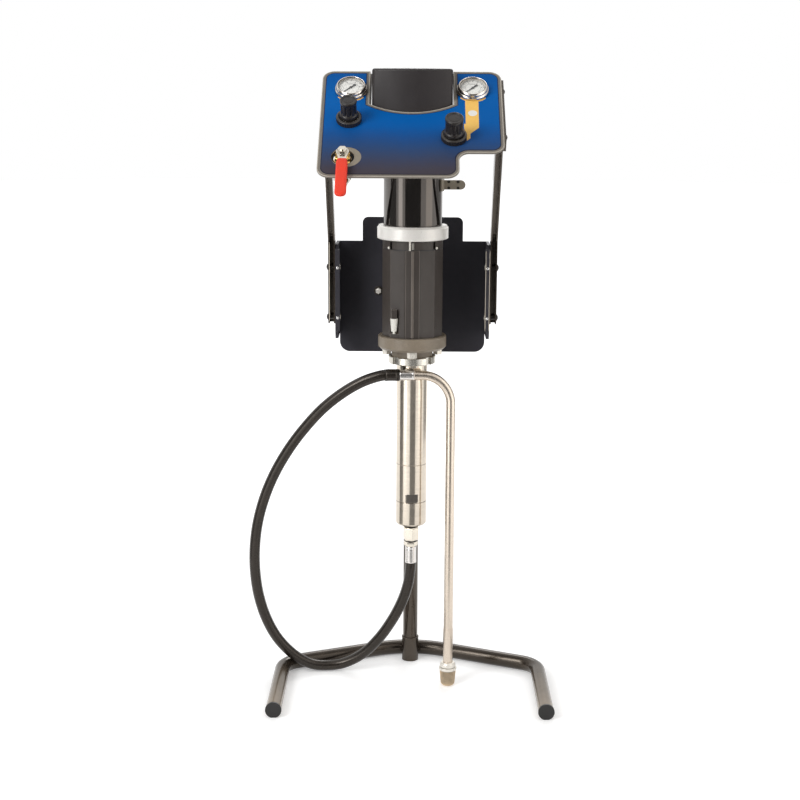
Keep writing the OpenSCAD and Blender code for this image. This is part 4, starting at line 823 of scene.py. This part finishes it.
def add_dials():
    """White dials with a scale over three quarters of a turn, and plain numbers."""
    dials, marks = Shape(), Shape()
    first, span, ticks = 225, 270, 50  # degrees of the zero mark and of the scale, parts of the scale
    circles = ((19.7, 0.25, 0, -45, 225), (12.2, 0.18, 1, -45, 225), (9.6, 0.5, 1, 60, 120))
    for gauge_x in GAUGE_X.values():
        centre = Matrix.Translation((gauge_x, GAUGE_Y, 5))
        dials.lathe([(1.35, 0), (22.0, 0), (22.4, 0.3), (22.4, 0.8), (22.0, 1.0), (1.35, 1.0)], 96,
                    place=centre, closed=True)
        for k in range(ticks + 1):
            a = math.radians(first - span * k / ticks)
            major = k % 5 == 0
            long, wide = (3.0, 0.42) if major else (1.7, 0.17)
            turn = centre @ Matrix.Rotation(a, 4, "Z")
            bar = [(19.6 - long, -wide), (19.6, -wide), (19.6, wide), (19.6 - long, wide)]
            marks.prism(bar, 1.0, 1.08, 0, turn)
        for r, wide, mat, start, end in circles:
            inside = arc((0, 0), r - wide, start, end, 72)
            outside = arc((0, 0), r + wide, start, end, 72)
            for j in range(72):
                quad = [inside[j], outside[j], outside[j + 1], inside[j + 1]]
                marks.add([(x, y, 1.07) for x, y in quad], [(0, 1, 2, 3)], mat, centre)
        for k in range(0, 11, 2):
            spot = centre @ Matrix.Translation((*polar(14.4, first - span * k / 10), 1.07))
            marks.add(*numeral(str(k), 4.0, spot))
    dials.piece("dials", "dial_white", [DIAL], PANEL, replaces=["gauge_dials"])
    marks.piece("dial_marks", "pointer_black", [INK, GREY_INK], PANEL, smooth=False)


def add_pointers():
    """Thin tapered pointers with a counterweight and a domed hub."""
    for side, gauge_x in GAUGE_X.items():
        shape = Shape()
        blade = [(-10.2, -1.6), (-9.6, -2.0), (-5.5, -1.7), (-3.8, -1.2), (0, -1.1), (17.4, -0.5),
                 (18.0, 0), (17.4, 0.5), (0, 1.1), (-3.8, 1.2), (-5.5, 1.7), (-9.6, 2.0), (-10.2, 1.6)]
        shape.prism(blade, 1.9, 2.35, 0, Matrix.Rotation(math.radians(225), 4, "Z"))
        shape.lathe([(0.3, 3.1), (1.2, 3.05), (2.0, 2.8), (2.4, 2.3), (2.4, 1.6), (1.15, 1.5), (1.15, -6.5),
                     (0.3, -6.5)], 40, 1)
        shape.piece(side + "_needle", "pointer_black", [INK, HARDWARE], at(gauge_x, GAUGE_Y, 5),
                    side + "_pointer_body", [side + "_pointer"])


add_hood()
add_hood_seals()
add_panel_trim()
add_prints()
add_valve_details()
add_grip()
add_knobs()
add_knob_rings()
add_gauge_bodies()
add_dials()
add_pointers()

# ------------ pump, stand and suction


def add_strainer():
    """Woven wire basket over a dark liner, with a solid foot and a flared top band."""
    wires, rounds, wire_r, foot, tall = 40, 12, 0.42, 3.6, 25.0
    shape = Shape()
    shape.lathe([(0.4, 0), (8.8, 0), (10.8, 1.4), (12.1, 4.6), (11.7, 4.8), (10.4, 3.0), (0.4, 1.4)], 64)
    shape.lathe([(10.2, 3.0), (10.9, 4.4), (13.1, 28.4), (12.9, 28.4), (10.7, 4.6)], 64, 2, closed=True)
    shape.lathe([(12.6, 28.0), (14.3, 28.2), (15.4, 29.0), (15.75, 30.2), (15.7, 32.6), (15.2, 33.8),
                 (12.6, 33.9)], 64, 1, closed=True)

    def woven(j, a, side):
        """A point of the weave on round j at angle a; side is 1 outside the skin and -1 inside it."""
        z = foot + tall * j / (rounds - 1)
        r = 11.9 + 2.3 * (z - foot) / tall + 0.25 * side
        return (r * math.cos(a), r * math.sin(a), z)

    for k in range(wires):
        line = [woven(j, TAU * k / wires, (-1) ** (j + k)) for j in range(rounds)]
        shape.sweep(line, wire_r, 5)
    for j in range(rounds):
        turns = [TAU * k / (4 * wires) for k in range(4 * wires)]
        ring = [woven(j, a, -math.cos(wires * a + math.pi * j)) for a in turns]
        shape.sweep(ring, wire_r, 5, closed=True)
    shape.piece("strainer_weave", "strainer_mesh", [MESH, NUT, HARDWARE],
                at(TUBE_X, TUBE_Y, 0, PUMP), replaces=["strainer_basket"])


def weld_bead(shape, points, r, closed=False):
    """A rippled bead along points."""
    fine = []
    pts = [Vector(p) for p in points]
    loop = pts + [pts[0]] if closed else pts
    for a, b in zip(loop, loop[1:]):
        n = max(1, round((b - a).length / 0.9))
        fine += [a.lerp(b, k / n) for k in range(n)]
    if not closed:
        fine.append(pts[-1])
    shape.sweep(fine, lambda i: r * (0.86 + 0.14 * math.cos(i * 2.1)), 8, closed=closed)


def add_welds():
    """Beads where the post meets its shoe and its mounting plate."""
    shape = Shape()
    weld_bead(shape, [(x, y, 44.3) for x, y in circle((0, 86.85), 14.4, 36)], 1.5, True)
    for x in (-10.9, 10.9):
        weld_bead(shape, [(x, 76.4, z) for z in (652, 778)], 1.9)
    shape.piece("weld_beads", "stand_paint", [STAND])


def add_shield_ribs():
    """Front seam rib over the joint of the shields, tapered at both ends."""
    section = [(-2.6, 0), (-2.2, -1.1), (-1.2, -1.6), (1.2, -1.6), (2.2, -1.1), (2.6, 0)]
    # The rib wears the shield paint's lighter copy: a painted highlight along the seam.
    Shape().rings(scaled(section, ((0.8, 632), (1, 633), (1, 779), (0.8, 780)))).piece(
        "seam_rib", "shield_paint", [SHIELD_EDGE_HIGHLIGHT], at(0, -51.9, 0, PUMP), bevel=0.2)


def add_fittings():
    """Thread, union nut and hose nut under the pump."""
    shape = Shape()
    thread = [(6.2, 300), (12.6, 300), (12.6, 290.2), (11.2, 290)]
    for k in range(5):
        z = 289.4 - 1.15 * k
        thread += [(11.6, z), (10.5, z - 0.55)]
    thread += [(11.2, 283.6), (6.2, 283.6)]
    shape.lathe(thread, 64, 1)
    shape.lathe([(6.2, 284.0), (13.2, 284.0), (13.6, 283.4), (13.6, 282.6), (13.0, 282.0), (6.2, 282.0)],
                64)
    nut = [(0.9, 282.4), (0.985, 281.2), (1.0, 280.0), (1.0, 262.6), (0.97, 261.0), (0.88, 259.2)]
    shape.rings(scaled(hexagon(14.4, -77), nut))
    shape.lathe([(6.2, 259.6), (11.4, 259.6), (11.4, 256.8), (6.2, 256.8)], 48, 1)
    low = [(0.93, 257.4), (1.0, 256.4), (1.0, 250.4), (0.9, 248.2)]
    shape.rings(scaled(hexagon(12.4, -62), low))
    shape.piece("union_nuts", "zinc", [FITTING, HARDWARE], replaces=["inlet_fittings"],
                bevel=0.35)


def add_ferrules():
    """Crimped sleeves on both hose ends, pressed in eight jaws with a groove behind the roll."""
    shape = Shape()
    lower = Matrix.Translation((0, 0, 217))
    upper = Matrix.Translation((-21, TUBE_Y, HOOK_Z)) @ Matrix.Rotation(math.pi / 2, 4, "Y")
    for r, h, place in ((10.0, 31.0, lower), (9.25, 25.5, upper)):

        def pressed(a, q, z, r=r, h=h):
            depth = 0.3 if 3 < z < h * 0.78 else 0.0
            return q - depth * abs(math.cos(4 * a)) if q > r - 0.1 else q

        shape.lathe([(0.4, 0), (r - 0.9, 0), (r - 0.2, 0.4), (r, 1.2), (r, 2.9), (r, 4.2), (r, h * 0.76),
                     (r, h * 0.8), (r - 0.4, h * 0.83), (r - 0.4, h * 0.87), (r, h * 0.9), (r, h - 1),
                     (r - 0.6, h), (0.4, h)], 64, place=place, radial=pressed)
    shape.piece("crimped_sleeves", "zinc", [FERRULE], replaces=["hose_ferrules"])


def add_dark_label():
    """Bare dark field on the lower cylinder."""
    skin = arc((0, 0), 27.02, -106, -64, 14)
    rows = scaled(skin, ((1, 334.5), (1.006, 335.0), (1.006, 348.6), (1, 349.1)))
    Shape().strip(rows).piece("dark_field", "steel", [DARK_LABEL])


def add_flange_lips():
    """Folded lips along the bracket's side flanges, with small screws set in them."""
    shape = Shape()
    for s in (-1, 1):
        low, high = sorted((s * 125.4, s * 128.6))
        shape.prism([(low, 0.1), (high, 0.1), (high, 4.4), (low, 4.4)], 634.8, 777.2)
        for z in (658, 745):
            shape.lathe([(0.3, 1.2), (1.5, 1.1), (2.3, 0.7), (2.6, 0), (2.6, -0.4), (0.3, -0.4)], 24, 1,
                        facing_front(s * 129.3, 0.2, z))
    shape.piece("flange_lips", "plate_paint", [PLATE, CHROME], bevel=0.3)


def add_edge_wear():
    """Bright lines along the right flange's front edges and one edge of the left arm: painted highlights.
    """
    shape = Shape()
    for x, half, low, high in ((126.1, 0.6, 636, 776), (132.7, 0.6, 636, 776), (-143.4, 0.8, 652, 790)):
        rings = []
        for z, k in ((low, 0.3), (low + 5, 1.0), (high - 5, 1.0), (high, 0.3)):
            w = half * k
            rings.append([(x - w, 0.1, z), (x - w * 0.7, -0.14, z), (x + w * 0.7, -0.14, z),
                          (x + w, 0.1, z)])
        shape.rings(rings)
    shape.piece("edge_highlight_lines", "plate_paint", [PAINTED_HIGHLIGHT])


def add_cuff():
    """Sleeve over the hose behind its upper ferrule."""
    line = [(-47.0, -36.6, 564.2), (-42.0, -36.55, 564.8), (-38.0, -36.5, 565.0), (-30.0, -36.5, 565.0),
            (-21.3, -36.5, 565.0)]
    Shape().sweep(line, 10.3, 40).piece("hose_cuff", "hose_rubber", [HOSE])


def add_lug_screws():
    """Four dark screws in the side lug's front face."""
    shape = Shape()
    for x in (60.6, 76.4):
        for z in (882.6, 893.4):
            shape.lathe([(0.3, 0.1), (1.0, 0.1), (1.2, 0.4), (2.1, 0.4), (2.5, 0), (2.6, -0.9),
                         (0.3, -0.9)], 24, place=facing_front(x, -3.5, z))
    shape.piece("lug_screws", "dark_hardware", [HARDWARE])


def add_front_rod():
    """A thin bright strip of the front tie rod's plating in the collar's open slot, as narrow as the rod's
    painted highlight, and a dark strip of painted shadow under the collar.
    """
    section = [polar(r, a) for a, r in ((-97.3, 51.9), (-96.6, 52.15), (-93.6, 52.15), (-92.9, 51.9))]
    Shape().rings(lifted([(section, z) for z in (780.6, 781.2, 795.8, 796.4)])).piece(
        "front_rod_highlight", "zinc", [NUT])
    # Painted shadow: a dark strip at the collar's lower edge.
    gap = ((51.7, 781.9), (52.05, 781.7), (52.05, 780.7), (51.7, 780.5))
    Shape().strip(lifted([(arc((0, 0), r, -165, -15, 50), z) for r, z in gap])).piece(
        "collar_shadow_gap", "shield_paint", [CAP])


def add_collar_screws():
    """Small domed screws at the collar's lower edge."""
    shape = Shape()
    for degrees in (-141.4, -38.6):
        seat = Matrix.Translation((*polar(51.7, degrees), 783.6))
        outward = Matrix.Rotation(math.radians(degrees), 4, "Z") @ Matrix.Rotation(math.pi / 2, 4, "Y")
        shape.lathe([(0.3, 1.7), (1.2, 1.6), (2.1, 1.1), (2.5, 0.2), (2.5, -0.3), (0.3, -0.3)], 28,
                    place=seat @ outward)
    shape.piece("collar_screws", "zinc", [NUT])


def add_small_hardware():
    """Washers under the bracket's screws, and the ground screw on its dark ring."""
    shape = Shape()
    for z in (670, 760):
        for x in (-38, 38):
            shape.lathe([(4.3, 0), (8.5, 0), (8.7, 0.4), (8.5, 0.9), (4.3, 0.9)], 40,
                        place=facing_front(x, 66, z), closed=True)
    shape.piece("washers", "dark_hardware", [HARDWARE])
    screw = Shape()
    place = facing_front(-60, 66, 697)
    screw.lathe([(3.2, 0), (8.2, 0), (8.4, 0.5), (8.0, 1.3), (3.2, 1.3)], 48, 1, place, closed=True)
    head = scaled(hexagon(5.6, 30), ((0.97, 1.3), (1.0, 1.8), (1.0, 4.6), (0.86, 5.4)))
    screw.rings(head, 0, place)
    screw.piece("ground_screw", "zinc", [NUT, HARDWARE], bevel=0.3)


add_strainer()
add_fittings()
add_ferrules()
add_dark_label()
add_flange_lips()
add_edge_wear()
add_cuff()
add_lug_screws()
add_front_rod()
add_collar_screws()
add_welds()
add_shield_ribs()
add_small_hardware()

# ------------ floor, light and world


def seen_directly(tree):
    """1 for the rays of the camera, of gloss and of glass, and 0 for the rest."""
    path = tree.nodes.new("ShaderNodeLightPath")
    seen = path.outputs["Is Camera Ray"]
    for name in ("Is Glossy Ray", "Is Transmission Ray"):
        pick = tree.nodes.new("ShaderNodeMath")
        pick.operation = "MAXIMUM"
        tree.links.new(seen, pick.inputs[0])
        tree.links.new(path.outputs[name], pick.inputs[1])
        seen = pick.outputs[0]
    return seen


def add_floor():
    """White round floor whose glow, seen by the camera and in gloss, grows outwards to pure white."""
    mesh = bpy.data.meshes.new("floor")
    rim = circle((0, 0), 14, 60)
    mesh.from_pydata([(x, y, -0.0005) for x, y in rim], [], [tuple(range(len(rim)))])
    t = Tree("floor_paper")
    t.link(t.ramp(t.noise(3, 4), [(0.3, (0.9, 0.9, 0.9, 1)), (0.7, (0.93, 0.93, 0.93, 1))]), "Base Color")
    t.set(Roughness=0.9, Specular_IOR_Level=0.1)
    away = t.add("ShaderNodeVectorMath", {0: t.place}, operation="LENGTH").outputs["Value"]
    glow = t.math("MULTIPLY", seen_directly(t.tree), t.spread(away, 0.3, 0.7, 0.7, 2.2))
    t.link(glow, "Emission Strength")
    t.set(Emission_Color=(1, 1, 1, 1))
    mesh.materials.append(t.material)
    floor = put("floor", mesh)


def add_world(level):
    """White world of strength 1 to the camera and in gloss and glass, and of level as a light."""
    world = bpy.data.worlds.new("studio")
    SCENE.world = world
    world.use_nodes = True
    tree = world.node_tree
    background = tree.nodes["Background"]
    background.inputs["Color"].default_value = (1, 1, 1, 1)
    strength = tree.nodes.new("ShaderNodeMath")
    strength.operation = "MULTIPLY_ADD"
    tree.links.new(seen_directly(tree), strength.inputs[0])
    strength.inputs[1].default_value = 1 - level
    strength.inputs[2].default_value = level
    tree.links.new(strength.outputs[0], background.inputs["Strength"])


def add_softbox(name, place, target, width, height, watts):
    data = bpy.data.lights.new(name, "AREA")
    data.shape = "RECTANGLE"
    data.size = width
    data.size_y = height
    data.energy = watts
    lamp = put(name, data)
    lamp.location = place
    lamp.rotation_euler = (Vector(target) - Vector(place)).to_track_quat("-Z", "Y").to_euler()


def add_card(name, start, end, near, far, high, tone):
    """Grey studio card: a sector of the floor and the wall at its end.

    start and end are degrees from the front to the right.
    """
    def spot(degrees, radius, z):
        a = math.radians(degrees)
        return (radius * math.sin(a), 0.1 - radius * math.cos(a), z)

    parts = 12
    verts = []
    for k in range(parts + 1):
        degrees = start + (end - start) * k / parts
        verts += [spot(degrees, near, 0.002), spot(degrees, far, 0.002), spot(degrees, far, high)]
    faces = []
    for k in range(parts):
        a, b = 3 * k, 3 * k + 3
        faces += [(a, a + 1, b + 1, b), (a + 1, a + 2, b + 2, b + 1)]
    mesh = bpy.data.meshes.new(name)
    mesh.from_pydata(verts, [], faces)
    grey = finish(name, rgb(tone, tone, tone), 0.9, vary=0.05, patch=2, grain=0.1, specular=0.1)
    mesh.materials.append(grey)
    card = put(name, mesh)


add_floor()
add_world(0.6)
add_card("card_front", -12, 29, 0.62, 3.4, 0.003, 150)
add_card("card_front_wall", -29, 29, 4.1, 4.2, 3.2, 110)
add_card("card_left", -96, -64, 0.85, 3.6, 2.6, 150)
add_card("card_right_rear", 98, 138, 1.9, 2.0, 2.2, 205)
add_softbox("key", (-1.9, -2.3, 2.4), (0, 0, 0.7), 1.2, 1.6, 44)
add_softbox("strip_left", (-1.15, -1.0, 1.05), (0, 0.1, 0.75), 0.45, 2.0, 6)
add_softbox("side_right", (1.6, -0.75, 1.05), (0, 0.1, 0.7), 0.9, 2.0, 5.5)
bpy.data.lights["side_right"].color = (1.0, 0.93, 0.84)
add_softbox("rear", (0.6, 2.4, 2.2), (0, 0, 0.7), 1.6, 1.2, 22)
SCENE.view_settings.view_transform = "Standard"
